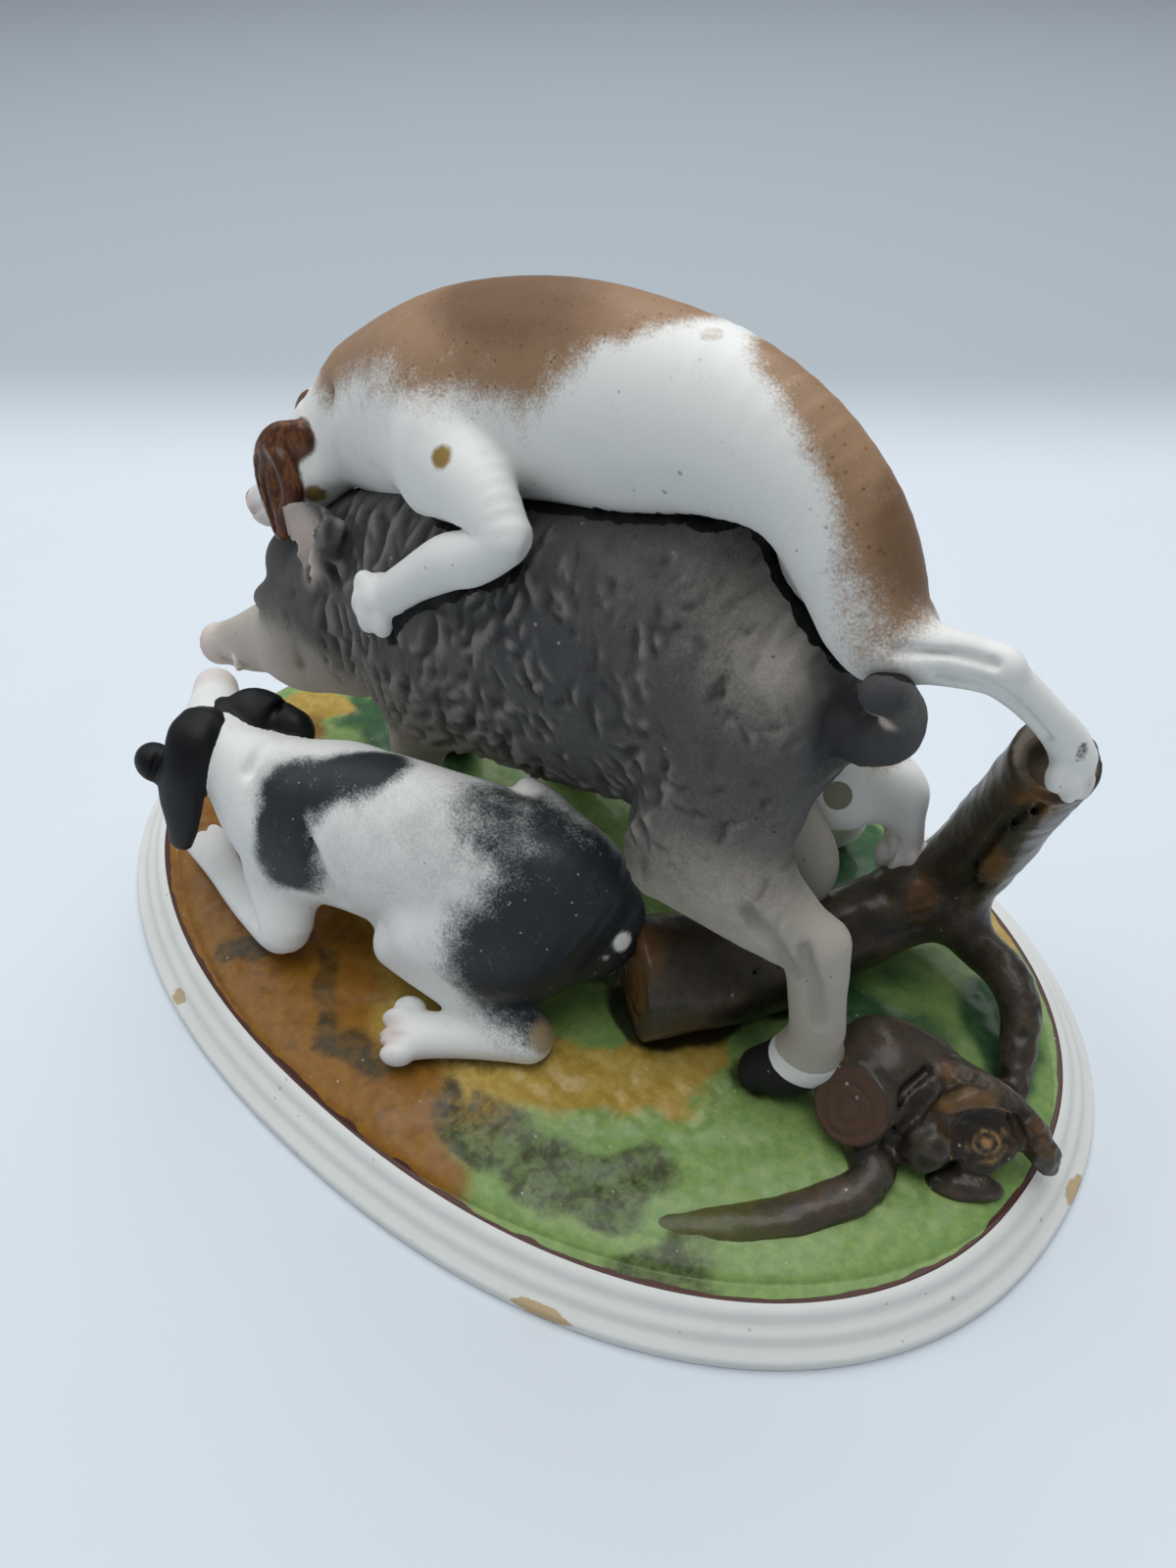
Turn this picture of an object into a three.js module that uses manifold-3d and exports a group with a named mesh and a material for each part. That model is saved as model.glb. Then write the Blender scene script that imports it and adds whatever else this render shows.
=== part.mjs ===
// Porcelain figure group: three hounds hold a wild boar on an oval base with a fallen tree.
// Millimetres, +Z up. The origin is at the middle of the underside.
// The boar faces -X, and its left flank, the near side, faces -Y.
import * as THREE from 'three';
import { mergeVertices } from 'three/addons/utils/BufferGeometryUtils.js';
import Module from 'manifold-3d';

const wasm = await Module();
wasm.setup();

// Base, driving sizes
const BASE_HALF_LENGTH = 105;
const BASE_HALF_WIDTH = 72.8;
const BASE_SQUARENESS = 2.2;
const BASE_SIDES = 48;
const FOOT_HEIGHT = 2.2;
const RIM_HEIGHT = 7.4;
const RIM_INSET = 7;
const LOWER_STEP_INSET = 2.2;
const UPPER_STEP_INSET = 4.6;
const STEP_SLOPE = 0.8;
const STEP_HEIGHT = 2.4;
const STEP_LEAN = 0.5;
const RECESS_INSET = 9;
const RECESS_DEPTH = 2.5;
const MOUND_HEIGHT = 5.2;
const MOUND_RINGS = 4;
const MOUND_ROLL = 0.8;
const ROLL_LENGTH = 17;
const ROLL_WIDTH = 14;

// Roundness of the lofted limbs: sides of a section and steps between two stations
const BODY_SIDES = 12;
const HEAD_SIDES = 10;
const LIMB_SIDES = 7;
const MUSCLE_SIDES = 8;
const MUSCLE_RINGS = 6;
const BODY_STEPS = 2;
const LIMB_STEPS = 1;

// The rounding ring past a limb's end, as shares of its half sizes
const TIP_REACH = 0.8;
const TIP_SIZE = 0.5;

// A point of the superellipse that the base follows, at a given inset and height
function ovalPoint(angle, inset, z) {
  const c = Math.cos(angle);
  const s = Math.sin(angle);
  const power = 2 / BASE_SQUARENESS;
  const x = (BASE_HALF_LENGTH - inset) * Math.sign(c) * Math.abs(c) ** power;
  const y = (BASE_HALF_WIDTH - inset) * Math.sign(s) * Math.abs(s) ** power;
  return [x, y, z];
}

// Height of the modelled ground above the rim, zero at the painted line
function moundHeight(x, y) {
  const u = x / (BASE_HALF_LENGTH - RIM_INSET);
  const v = y / (BASE_HALF_WIDTH - RIM_INSET);
  const edge = Math.max(0, 1 - (u * u + v * v));
  const roll = MOUND_ROLL * Math.sin(x / ROLL_LENGTH + 1) * Math.cos(y / ROLL_WIDTH);
  return MOUND_HEIGHT * Math.sqrt(edge) + roll * edge;
}

// Joins rings of equal count and closes both ends on their middle points
function skin(rings) {
  const count = rings[0].length;
  const positions = [];
  const index = [];
  for (const ring of rings) {
    for (const point of ring) {
      positions.push(...point);
    }
  }
  const middles = [rings[0], rings[rings.length - 1]].map((ring) => {
    const sum = ring.reduce((a, p) => [a[0] + p[0], a[1] + p[1], a[2] + p[2]], [0, 0, 0]);
    return sum.map((value) => value / count);
  });
  positions.push(...middles[0], ...middles[1]);
  const first = rings.length * count;
  const last = first + 1;
  for (let j = 0; j < count; j += 1) {
    const k = (j + 1) % count;
    for (let i = 0; i + 1 < rings.length; i += 1) {
      const a = i * count + j;
      const b = i * count + k;
      index.push(a, b, b + count, a, b + count, a + count);
    }
    const end = (rings.length - 1) * count;
    index.push(first, k, j, last, end + j, end + k);
  }
  const geometry = new THREE.BufferGeometry();
  geometry.setAttribute('position', new THREE.Float32BufferAttribute(positions, 3));
  geometry.setIndex(index);
  return geometry;
}

function solidOf(geometry) {
  const plain = new THREE.BufferGeometry();
  plain.setAttribute('position', geometry.getAttribute('position'));
  if (geometry.index) {
    plain.setIndex(geometry.index);
  }
  const merged = mergeVertices(plain, 1e-4);
  const mesh = new wasm.Mesh({
    numProp: 3,
    vertProperties: new Float32Array(merged.getAttribute('position').array),
    triVerts: new Uint32Array(merged.index.array),
  });
  return new wasm.Manifold(mesh);
}

// One point of a Catmull-Rom run through stations of [x, y, z, half width, half depth]
function between(stations, i, t) {
  const p1 = stations[i];
  const p2 = stations[i + 1];
  const p0 = stations[i - 1] ?? p1.map((value, k) => 2 * value - p2[k]);
  const p3 = stations[i + 2] ?? p2.map((value, k) => 2 * value - p1[k]);
  return p1.map((value, k) => {
    const slope = (p2[k] - p0[k]) / 2;
    const nextSlope = (p3[k] - value) / 2;
    const cubic = 2 * value - 2 * p2[k] + slope + nextSlope;
    const square = -3 * value + 3 * p2[k] - 2 * slope - nextSlope;
    return ((cubic * t + square) * t + slope) * t + value;
  });
}

// A closed body with oval sections along a run of stations. The half width lies along
// the side direction. Each end is rounded, or cut flat where cut names it.
function loft(stations, { side = [0, 1, 0], sides = LIMB_SIDES, steps = LIMB_STEPS, cut = '' } = {}) {
  const run = [];
  for (let i = 0; i + 1 < stations.length; i += 1) {
    for (let s = 0; s < steps; s += 1) {
      run.push(between(stations, i, s / steps));
    }
  }
  run.push(stations[stations.length - 1]);
  const middle = run.map((q) => new THREE.Vector3(q[0], q[1], q[2]));
  const rings = [];
  const sideways = new THREE.Vector3(...side);
  const addRing = (centre, tangent, halfWidth, halfDepth) => {
    const across = sideways.clone().addScaledVector(tangent, -tangent.dot(sideways));
    across.normalize();
    const up = new THREE.Vector3().crossVectors(tangent, across);
    const ring = [];
    for (let j = 0; j < sides; j += 1) {
      const angle = (2 * Math.PI * j) / sides;
      const point = centre.clone();
      point.addScaledVector(across, Math.cos(angle) * halfWidth);
      point.addScaledVector(up, Math.sin(angle) * halfDepth);
      ring.push(point.toArray());
    }
    rings.push(ring);
  };
  const last = run.length - 1;
  for (let i = 0; i <= last; i += 1) {
    const tangent = middle[Math.min(i + 1, last)].clone().sub(middle[Math.max(i - 1, 0)]);
    tangent.normalize();
    const [, , , halfWidth, halfDepth] = run[i];
    const reach = TIP_REACH * Math.min(halfWidth, halfDepth);
    const addTip = (distance) => {
      const tip = middle[i].clone().addScaledVector(tangent, distance);
      addRing(tip, tangent, TIP_SIZE * halfWidth, TIP_SIZE * halfDepth);
    };
    if (i === 0 && !cut.includes('start')) {
      addTip(-reach);
    }
    addRing(middle[i], tangent, halfWidth, halfDepth);
    if (i === last && !cut.includes('end')) {
      addTip(reach);
    }
  }
  return solidOf(skin(rings));
}

function body(stations, options = {}) {
  return loft(stations, { sides: BODY_SIDES, steps: BODY_STEPS, ...options });
}

function head(stations, options = {}) {
  return loft(stations, { sides: HEAD_SIDES, ...options });
}

// An oval muscle whose long axis runs from one point to another
function muscle(from, to, halfWidth, halfDepth, side = [0, 1, 0]) {
  const start = new THREE.Vector3(...from);
  const end = new THREE.Vector3(...to);
  const along = end.clone().sub(start);
  const length = along.length();
  along.normalize();
  const across = new THREE.Vector3(...side);
  across.addScaledVector(along, -along.dot(across)).normalize();
  const up = new THREE.Vector3().crossVectors(along, across);
  const geometry = new THREE.SphereGeometry(1, MUSCLE_SIDES, MUSCLE_RINGS);
  geometry.scale(length / 2, halfWidth, halfDepth);
  geometry.applyMatrix4(new THREE.Matrix4().makeBasis(along, across, up));
  const centre = start.add(end).multiplyScalar(0.5);
  geometry.translate(centre.x, centre.y, centre.z);
  return solidOf(geometry);
}

function join(solids) {
  return solids.reduce((whole, solid) => whole.add(solid));
}

// The oval base: a foot ring, a stepped rim with two grooves, and the modelled ground
function base() {
  const profile = [
    [RECESS_INSET + STEP_SLOPE, RECESS_DEPTH],
    [RECESS_INSET, 0],
    [0, 0],
    [0, FOOT_HEIGHT],
    [LOWER_STEP_INSET, FOOT_HEIGHT + STEP_SLOPE],
    [LOWER_STEP_INSET + STEP_LEAN, FOOT_HEIGHT + STEP_HEIGHT],
    [UPPER_STEP_INSET, FOOT_HEIGHT + STEP_HEIGHT + STEP_SLOPE],
    [UPPER_STEP_INSET + STEP_LEAN, RIM_HEIGHT - STEP_LEAN],
    [RIM_INSET, RIM_HEIGHT],
  ];
  const rings = profile.map(([inset, z]) => ovalRing((angle) => ovalPoint(angle, inset, z)));
  for (let i = 1; i < MOUND_RINGS; i += 1) {
    const scale = Math.cos((Math.PI / 2) * (i / MOUND_RINGS));
    rings.push(ovalRing((angle) => {
      const [x, y] = ovalPoint(angle, RIM_INSET, 0);
      return [x * scale, y * scale, RIM_HEIGHT + moundHeight(x * scale, y * scale)];
    }));
  }
  return solidOf(skin(rings));
}

function ovalRing(place) {
  const ring = [];
  for (let j = 0; j < BASE_SIDES; j += 1) {
    ring.push(place((2 * Math.PI * j) / BASE_SIDES));
  }
  return ring;
}

// Stations below are [x, y, z, half width, half depth]
function boar() {
  const trunk = body([
    [46.5, 1, 81.5, 9, 10.5],
    [42, 2, 79.5, 15, 18.5],
    [35, 2, 77, 18.5, 25.5],
    [22, 1, 74.5, 20.5, 26.5],
    [4, 0, 70, 21.5, 26.5],
    [-14, -1, 66, 21, 26.5],
    [-30, -3, 63, 18.5, 24],
    [-44, -6, 61, 14, 18.5],
  ]);
  const face = head([
    [-40, -6, 62, 14, 18],
    [-53, -10, 55.5, 11.5, 13.5],
    [-62.5, -12, 48.5, 8.4, 9],
    [-73, -13, 42.4, 6.4, 6.9],
    [-83, -14, 36.8, 5, 5.4],
    [-92, -15, 33, 4.6, 4.8],
  ], { cut: 'end' });
  const brow = muscle([-54, -9, 65], [-66.5, -10.5, 60], 6.6, 5.6);
  const throat = muscle([-44, -11, 48], [-70, -14, 39], 7.5, 6.5);
  const haunch = muscle([45, -6, 88], [37, -11.5, 43], 10, 11.5);
  const nearHind = loft([
    [36, -14, 54, 9, 12],
    [49, -14.6, 50.6, 6.5, 7.6],
    [59, -13, 46.8, 5, 5.2],
    [61.6, -12.4, 37, 4.1, 4.3],
    [62.6, -11.6, 28, 4.2, 4.4],
    [62.2, -11, 19, 4.9, 5],
  ]);
  const nearHindHoof = loft([
    [62, -10.5, 19, 5, 5],
    [59.5, -12.5, 16.5, 5, 4.8],
    [55.5, -14.5, 13.8, 4.3, 3.6],
  ]);
  const farHaunch = muscle([40, 8, 88], [31, 13.5, 43], 10, 11.5);
  const farHind = loft([
    [29, 14, 54, 7, 9],
    [37, 14, 43, 5, 6],
    [44, 14.2, 35.6, 4, 4.4],
    [44.2, 14.8, 28, 3.4, 3.5],
    [38.6, 15, 15, 4, 3.6],
  ]);
  const nearShoulder = muscle([-14, -9, 80], [-28, -12, 44], 11, 14);
  const nearFore = loft([
    [-24, -12, 50, 7, 9],
    [-28, -13, 38, 5, 6],
    [-30, -13, 26, 4.2, 4.4],
    [-31, -13, 19, 4.4, 4.4],
    [-35, -14, 14, 4.6, 4],
  ]);
  const farShoulder = muscle([-14, 8, 80], [-30, 9, 44], 11, 14);
  const farFore = loft([
    [-30, 9, 48, 7, 9],
    [-38, 11, 36, 5, 6],
    [-43, 12, 25, 4.2, 4.4],
    [-45, 12, 18, 4.4, 4.4],
    [-49, 12, 13.5, 4.6, 4],
  ]);
  const tail = loft([
    [46, 0, 78.5, 5.4, 5.6],
    [56.9, -2.5, 78.5, 3.6, 3.7],
    [61.2, -4, 82.2, 3.4, 3.5],
    [62.5, -5.5, 87.3, 3.2, 3.3],
    [60, -7, 90.4, 3.2, 3],
  ]);
  const nearEar = loft([
    [-42.4, -19.2, 81, 6.2, 3],
    [-43.2, -18.6, 76, 5.2, 2.9],
    [-44.2, -17.4, 68.6, 1.8, 1.9],
  ], { side: [0.8, -0.5, 0.1] });
  const farEar = loft([
    [-43.2, 9.6, 82, 6.2, 3],
    [-44, 9, 77, 5.2, 2.9],
    [-45, 7.8, 69.6, 1.8, 1.9],
  ], { side: [0.8, 0.5, 0.1] });
  return join([
    trunk, face, brow, throat, haunch, nearHind, nearHindHoof, farHaunch, farHind,
    nearShoulder, nearFore, farShoulder, farFore, tail, nearEar, farEar,
  ]);
}

// The hound on the boar's back, one hind paw braced on the broken bole
function topHound() {
  const trunk = body([
    [-50, 0, 89, 7, 8],
    [-45, 0, 92.5, 11, 13.5],
    [-36, 0, 97, 13.5, 15.5],
    [-22, 1, 103.5, 13.5, 16.5],
    [-5, 1, 108.8, 13.2, 16.2],
    [10, 1, 111.2, 12.6, 15.4],
    [24.8, 1, 113, 10.6, 12.8],
    [37, 1, 111.4, 9, 10],
    [46.6, 1, 106, 7.6, 8],
    [53.5, 1, 97, 6, 6.2],
  ]);
  const face = head([
    [-44, -2, 94, 9, 11],
    [-49.6, -7, 90, 7.6, 8.6],
    [-53.6, -11, 84.5, 6.8, 7],
    [-59, -12.4, 79.2, 4.9, 5.2],
    [-63.6, -13.7, 75.5, 4.2, 4.2],
  ]);
  const nearShoulder = muscle([-34, -7, 110], [-8, -13.5, 94], 6.6, 11);
  const nearFore = loft([
    [-10, -14, 100, 5.6, 7],
    [2.2, -17.8, 95, 3.8, 4],
    [-8, -19.4, 87.8, 3.9, 4.3],
    [-16.3, -20.2, 81.4, 3.2, 3.5],
    [-24.4, -21, 72.6, 4.2, 4],
  ]);
  const farShoulder = muscle([-34, 9, 110], [-10, 14.5, 92], 6.6, 11);
  const farFore = loft([
    [-10, 15, 96, 6, 7.5],
    [-4, 20, 90, 4.8, 5.2],
    [-12, 23, 82, 4.2, 4.3],
    [-25, 23, 73, 4.4, 4],
  ]);
  const nearHaunch = muscle([42, -0.6, 108], [56.4, -0.6, 91.4], 5.4, 6.2);
  const nearHind = loft([
    [53.5, -1, 95.4, 5, 5.4],
    [62.8, 0, 94, 3.8, 3.9],
    [68.4, 4.2, 92.3, 3.1, 3.4],
    [75, 10, 85.2, 2.8, 3],
    [79.4, 15, 76.4, 3.5, 3.4],
  ]);
  const farHaunch = muscle([38, 6, 110], [49, 10, 84], 7.6, 9.6);
  const farHind = loft([
    [47, 13, 86, 6.5, 7.5],
    [44, 18.6, 76, 4.4, 4.4],
    [38, 21.5, 68, 4, 4],
  ]);
  const nearEar = loft([
    [-49, -13.6, 93.4, 1.9, 2.9],
    [-54.8, -17.1, 87.4, 2.1, 4.6],
    [-51, -19.2, 78.4, 1.9, 2.8],
  ]);
  const farEar = loft([
    [-55, -3, 92.4, 2, 3.4],
    [-62.6, -2.4, 86.6, 2, 4.4],
    [-63.2, -2.6, 78, 1.8, 2.8],
  ]);
  return join([
    trunk, face, nearShoulder, nearFore, farShoulder, farFore,
    nearHaunch, nearHind, farHaunch, farHind, nearEar, farEar,
  ]);
}

// The crouching hound on the near side, its head turned up under the boar's snout
function leftHound() {
  const side = [0.6, -0.8, 0];
  const trunk = body([
    [24, -20.5, 29, 7, 10],
    [18.4, -23.6, 33, 12, 15.4],
    [8.6, -27.8, 37, 13, 17],
    [-3.6, -31.4, 37.2, 12.4, 17.4],
    [-15, -34.4, 36.8, 12.4, 17],
    [-27, -38, 36, 12.5, 15],
    [-36, -41, 37, 10, 12],
  ], { side, steps: 1 });
  const face = head([
    [-33, -40, 40, 8, 10],
    [-41, -43, 43.6, 6.6, 7.6],
    [-46.6, -43.2, 46, 6.8, 6.8],
    [-51.2, -40.4, 46.8, 5.8, 5.8],
    [-60.8, -34, 45.8, 4.1, 4.2],
  ], { side });
  const nearHaunch = muscle([25, -26.6, 31.4], [0, -38.6, 25.6], 10, 12.6, side);
  const nearShin = loft([
    [-3.4, -41, 24, 5, 5.6],
    [5.2, -39.4, 21, 4.8, 5],
    [14.4, -38, 17.8, 4.2, 4.4],
    [22, -36.6, 16, 4, 4],
  ], { side });
  const nearFoot = loft([
    [23.4, -36.9, 15.6, 4.2, 4.1],
    [15, -42.7, 14, 3.5, 3.4],
    [5.6, -50, 14, 4.8, 3.5],
  ], { side });
  const farHaunch = muscle([23, -15, 32], [4, -20, 20], 8, 11, side);
  const farFoot = loft([
    [20, -14, 15, 4, 4],
    [8, -19, 14.5, 4, 3.6],
    [0, -24, 14.5, 5, 3.6],
  ], { side });
  const nearShoulder = muscle([-22, -39, 48], [-30, -46, 24], 6.6, 10, side);
  const nearFore = loft([
    [-29, -46.5, 27, 5.5, 6.5],
    [-25.4, -50.4, 18.4, 4.6, 4.8],
    [-41, -49, 16, 3.5, 3.5],
    [-57, -45, 15, 4.2, 3.4],
  ], { side });
  const farFore = loft([
    [-34, -34, 30, 6.5, 8],
    [-40, -31, 21, 4.4, 4.8],
    [-52, -30, 16.5, 3.6, 3.6],
    [-62, -31, 15.5, 4, 3.2],
  ], { side });
  const tail = loft([
    [24, -18, 27, 3.6, 3.6],
    [27, -17, 33, 3.4, 3.4],
    [25, -17.5, 40, 3.1, 3.1],
    [18, -18, 45.6, 2.9, 2.9],
    [8, -19.6, 51.2, 2.5, 2.5],
  ]);
  const nearEar = loft([
    [-46, -48, 51, 3.6, 2.6],
    [-45.6, -51.6, 46, 5.4, 2.8],
    [-46.6, -53.6, 37, 4, 2.2],
    [-48, -54.6, 29, 2.4, 1.7],
  ], { side: [1, 0.3, 0] });
  const farEar = loft([
    [-46, -38, 50.4, 3.4, 2.6],
    [-42.4, -34, 48.6, 5, 3],
    [-38.8, -32, 44.6, 3.6, 2.4],
  ], { side: [0.4, 1, 0.3] });
  return join([
    trunk, face, nearHaunch, nearShin, nearFoot, farHaunch, farFoot,
    nearShoulder, nearFore, farFore, tail, nearEar, farEar,
  ]);
}

// The hound on the far side, one hind paw on the log
function farHound() {
  const trunk = body([
    [46, 28, 45, 7, 8],
    [40, 29, 47, 10, 12],
    [26, 31, 49, 10, 12],
    [8, 32, 48, 10, 12],
    [-10, 32, 46, 11, 14],
    [-18, 31, 45, 8, 10],
  ], { steps: 1 });
  const face = head([
    [-14, 30, 48, 7, 9],
    [-24, 28, 52, 6, 7],
    [-31, 25, 54, 6.5, 6.5],
    [-38, 21, 52, 4, 4],
  ]);
  const nearHind = loft([
    [42, 25, 45, 6, 8],
    [46, 25.2, 49, 4, 4.6],
    [52.6, 27.6, 46.8, 3.4, 3.5],
    [52.8, 28.6, 41, 3.4, 3.4],
    [53, 30, 32, 3.8, 3.6],
  ]);
  const farHind = loft([
    [38, 35, 46, 7, 8],
    [33, 39.6, 34, 4.4, 4.8],
    [36.4, 42, 24, 3.5, 3.7],
    [33, 43.4, 14, 4, 3.4],
  ]);
  const nearFore = loft([
    [-10, 38, 42, 6, 8],
    [-5, 41, 28, 4, 4],
    [-12, 42, 18, 3.4, 3.4],
    [-18, 42, 14, 4, 3],
  ]);
  const farFore = loft([
    [-12, 24, 42, 6, 8],
    [-8, 23, 28, 4, 4],
    [-18, 22, 18, 3.4, 3.4],
    [-25, 22, 14, 4, 3],
  ]);
  const tail = loft([
    [44, 34, 49, 3, 3],
    [42, 43, 46, 2.4, 2.4],
    [36, 48, 38, 2, 2],
    [30, 49, 33, 1.6, 1.6],
  ]);
  const ear = loft([
    [-27, 32, 58, 2, 3],
    [-29, 36, 54, 1.8, 4.4],
    [-29, 37, 47, 1.6, 3],
  ]);
  return join([trunk, face, nearHind, farHind, nearFore, farFore, tail, ear]);
}

// A fallen bole that turns up to a broken top, its root, and the stump beside it
function tree() {
  const upright = [0, 0, 1];
  const bole = loft([
    [31.4, -19.4, 22.5, 11, 11],
    [43, -3, 20.5, 9.5, 9.5],
    [48, 7, 20, 8.2, 8.2],
    [52.5, 18, 20.5, 7.6, 7.6],
    [57.5, 28, 23, 7.6, 7.6],
    [62.5, 33, 30, 7.6, 7.6],
    [66.5, 32, 41, 7.4, 7.4],
    [71, 26.5, 56, 6.8, 6.8],
    [76, 19, 72, 6.6, 6.6],
  ], { side: upright, sides: 12, steps: 1, cut: 'start end' });
  const root = loft([
    [63, 32, 24, 4.6, 4.6],
    [71, 29.5, 20, 3.6, 3.6],
    [79, 26, 20.5, 3.3, 3.3],
    [84, 23, 17, 3.3, 3.3],
    [88, 14, 11, 3, 3],
  ], { side: upright });
  const hump = muscle([62.4, -0.4, 15], [83, -4, 15], 8.6, 10);
  const stub = loft([
    [76, -2, 14, 7, 7],
    [73.4, -9.6, 16.6, 6.4, 6.4],
    [72, -14.4, 19, 6.3, 6.1],
  ], { side: upright, sides: 12, cut: 'end' });
  const broken = loft([
    [77, 1, 15, 8, 7],
    [84, -0.6, 15.4, 7.2, 6.8],
    [91.2, -4.4, 17.4, 5.8, 5.6],
  ], { side: upright, sides: 12, cut: 'end' });
  const lobe = muscle([85.6, -11, 9.2], [96.4, -5, 9.8], 2.7, 2.6);
  const point = loft([
    [82, 0.4, 19.4, 4.8, 4],
    [94.6, 2.2, 16.6, 3.6, 2.8],
    [99, 2.7, 12.6, 2.2, 2.2],
  ], { side: upright });
  const ridge = loft([
    [76, -12, 12, 3.8, 3],
    [79.6, -18, 11.2, 3.6, 3],
    [72.5, -32, 9.5, 3.4, 2.4],
    [58.4, -45, 8, 2.7, 1.5],
  ], { side: [1, 0, 0] });
  return join([bole, root, hump, stub, broken, lobe, point, ridge]);
}

function meshOf(solid, name, material) {
  const out = solid.getMesh();
  const geometry = new THREE.BufferGeometry();
  geometry.setAttribute('position', new THREE.BufferAttribute(new Float32Array(out.vertProperties), 3));
  geometry.setIndex(new THREE.BufferAttribute(new Uint32Array(out.triVerts), 1));
  geometry.computeVertexNormals();
  const mesh = new THREE.Mesh(geometry, material);
  mesh.name = name;
  return mesh;
}

const porcelain = new THREE.MeshStandardMaterial({ color: 0xd9d6cf, roughness: 0.6, metalness: 0 });
const group = new THREE.Group();
const whole = join([base(), boar(), topHound(), leftHound(), farHound(), tree()]);
group.add(meshOf(whole, 'boar_hunt_group', porcelain));

export default group;
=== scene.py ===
# Looks of the porcelain figure group: a boar held by hounds on an oval base.
# Lengths in the modelling code are millimetres; mesh_piece turns them into metres.
import math

import bpy
import numpy as np
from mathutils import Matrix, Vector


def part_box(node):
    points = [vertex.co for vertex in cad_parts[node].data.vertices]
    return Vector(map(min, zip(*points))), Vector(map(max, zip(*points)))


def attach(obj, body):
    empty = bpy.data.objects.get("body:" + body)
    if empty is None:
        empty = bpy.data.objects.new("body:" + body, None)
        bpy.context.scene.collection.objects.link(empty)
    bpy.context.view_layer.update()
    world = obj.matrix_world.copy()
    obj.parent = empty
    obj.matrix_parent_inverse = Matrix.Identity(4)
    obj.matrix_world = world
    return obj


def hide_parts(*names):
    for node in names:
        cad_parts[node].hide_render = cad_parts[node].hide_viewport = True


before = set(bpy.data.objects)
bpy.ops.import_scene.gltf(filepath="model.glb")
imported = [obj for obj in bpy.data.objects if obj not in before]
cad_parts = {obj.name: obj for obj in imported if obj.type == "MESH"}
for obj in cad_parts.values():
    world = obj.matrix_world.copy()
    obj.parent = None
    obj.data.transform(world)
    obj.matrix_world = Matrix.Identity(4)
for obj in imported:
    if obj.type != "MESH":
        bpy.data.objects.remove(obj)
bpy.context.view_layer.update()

import openvdb
from mathutils import Matrix, Vector

NODE = "boar_hunt_group"
BODY = "root"
MM = 0.001

STEP = 0.55
BOAR_STEP = 0.64
# Distance that stands for empty space, room kept round a stroke, and a squared distance not yet set
FAR = 50.0
MARGIN = 1.5
UNSET = 1e6

# Base: length and width from the frame, power of its squared oval, rim and mound
_, BASE_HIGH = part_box(NODE)
HALF_LENGTH = BASE_HIGH[0] / MM
HALF_WIDTH = BASE_HIGH[1] / MM
SQUARENESS = 2.2
RIM_HEIGHT = 7.4
RIM_INSET = 7.0
MOUND_HEIGHT = 5.2
GROUND_HALF_LENGTH = HALF_LENGTH - RIM_INSET
GROUND_HALF_WIDTH = HALF_WIDTH - RIM_INSET

# Odd multipliers that scramble lattice points into noise
SCRAMBLE = (374761393, 668265263, 2147483647)
SCRAMBLE_SEED = 1274126177
# Corners of a lattice cell
CORNERS = [(dx, dy, dz) for dx in (0, 1) for dy in (0, 1) for dz in (0, 1)]


# Small maths on arrays

def unit(v):
    v = np.asarray(v, float)
    return v / (np.linalg.norm(v) + 1e-9)


def smoothstep(low, high, x):
    t = np.clip((x - low) / (high - low), 0, 1)
    return t * t * (3 - 2 * t)


def smooth_min(a, b, k):
    h = np.maximum(k - np.abs(a - b), 0) / k
    return np.minimum(a, b) - h * h * k / 4


def smooth_max(a, b, k):
    return -smooth_min(-a, -b, k)


def hash_lattice(ix, iy, iz, seed):
    """A value in -1..1 for each lattice point, the same in every run."""
    n = ix * SCRAMBLE[0] + iy * SCRAMBLE[1] + iz * SCRAMBLE[2] + seed * SCRAMBLE_SEED
    n = (n ^ (n >> 13)) * SCRAMBLE_SEED
    n = n ^ (n >> 16)
    return (n & 0xFFFFFF).astype(np.float32) / 0x7FFFFF - 1.0


def noise(p, scale, seed=0):
    """Smooth value noise in -1..1 at points p, with features about scale millimetres across."""
    q = np.asarray(p, np.float32) / scale
    cell = np.floor(q).astype(np.int64)
    f = (q - cell).astype(np.float32)
    f = f * f * f * (f * (f * 6 - 15) + 10)
    weights = (1 - f, f)
    total = 0
    for dx, dy, dz in CORNERS:
        value = hash_lattice(cell[..., 0] + dx, cell[..., 1] + dy, cell[..., 2] + dz, seed)
        total = total + weights[dx][..., 0] * weights[dy][..., 1] * weights[dz][..., 2] * value
    return total


# The clay: a signed distance on a grid, built up and cut back by simple strokes

def spline(stations, steps):
    """Catmull-Rom through stations of equal length, with steps points between two stations."""
    s = np.array(stations, float)
    ends = np.vstack([2 * s[0] - s[1], s, 2 * s[-1] - s[-2]])
    out = []
    for i in range(len(s) - 1):
        a, b, c, d = ends[i:i + 4]
        for t in np.arange(steps) / steps:
            slope = (c - a) / 2
            after = (d - b) / 2
            cubic = 2 * b - 2 * c + slope + after
            square = -3 * b + 3 * c - 2 * slope - after
            out.append(((cubic * t + square) * t + slope) * t + b)
    out.append(s[-1])
    return np.array(out)


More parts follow.
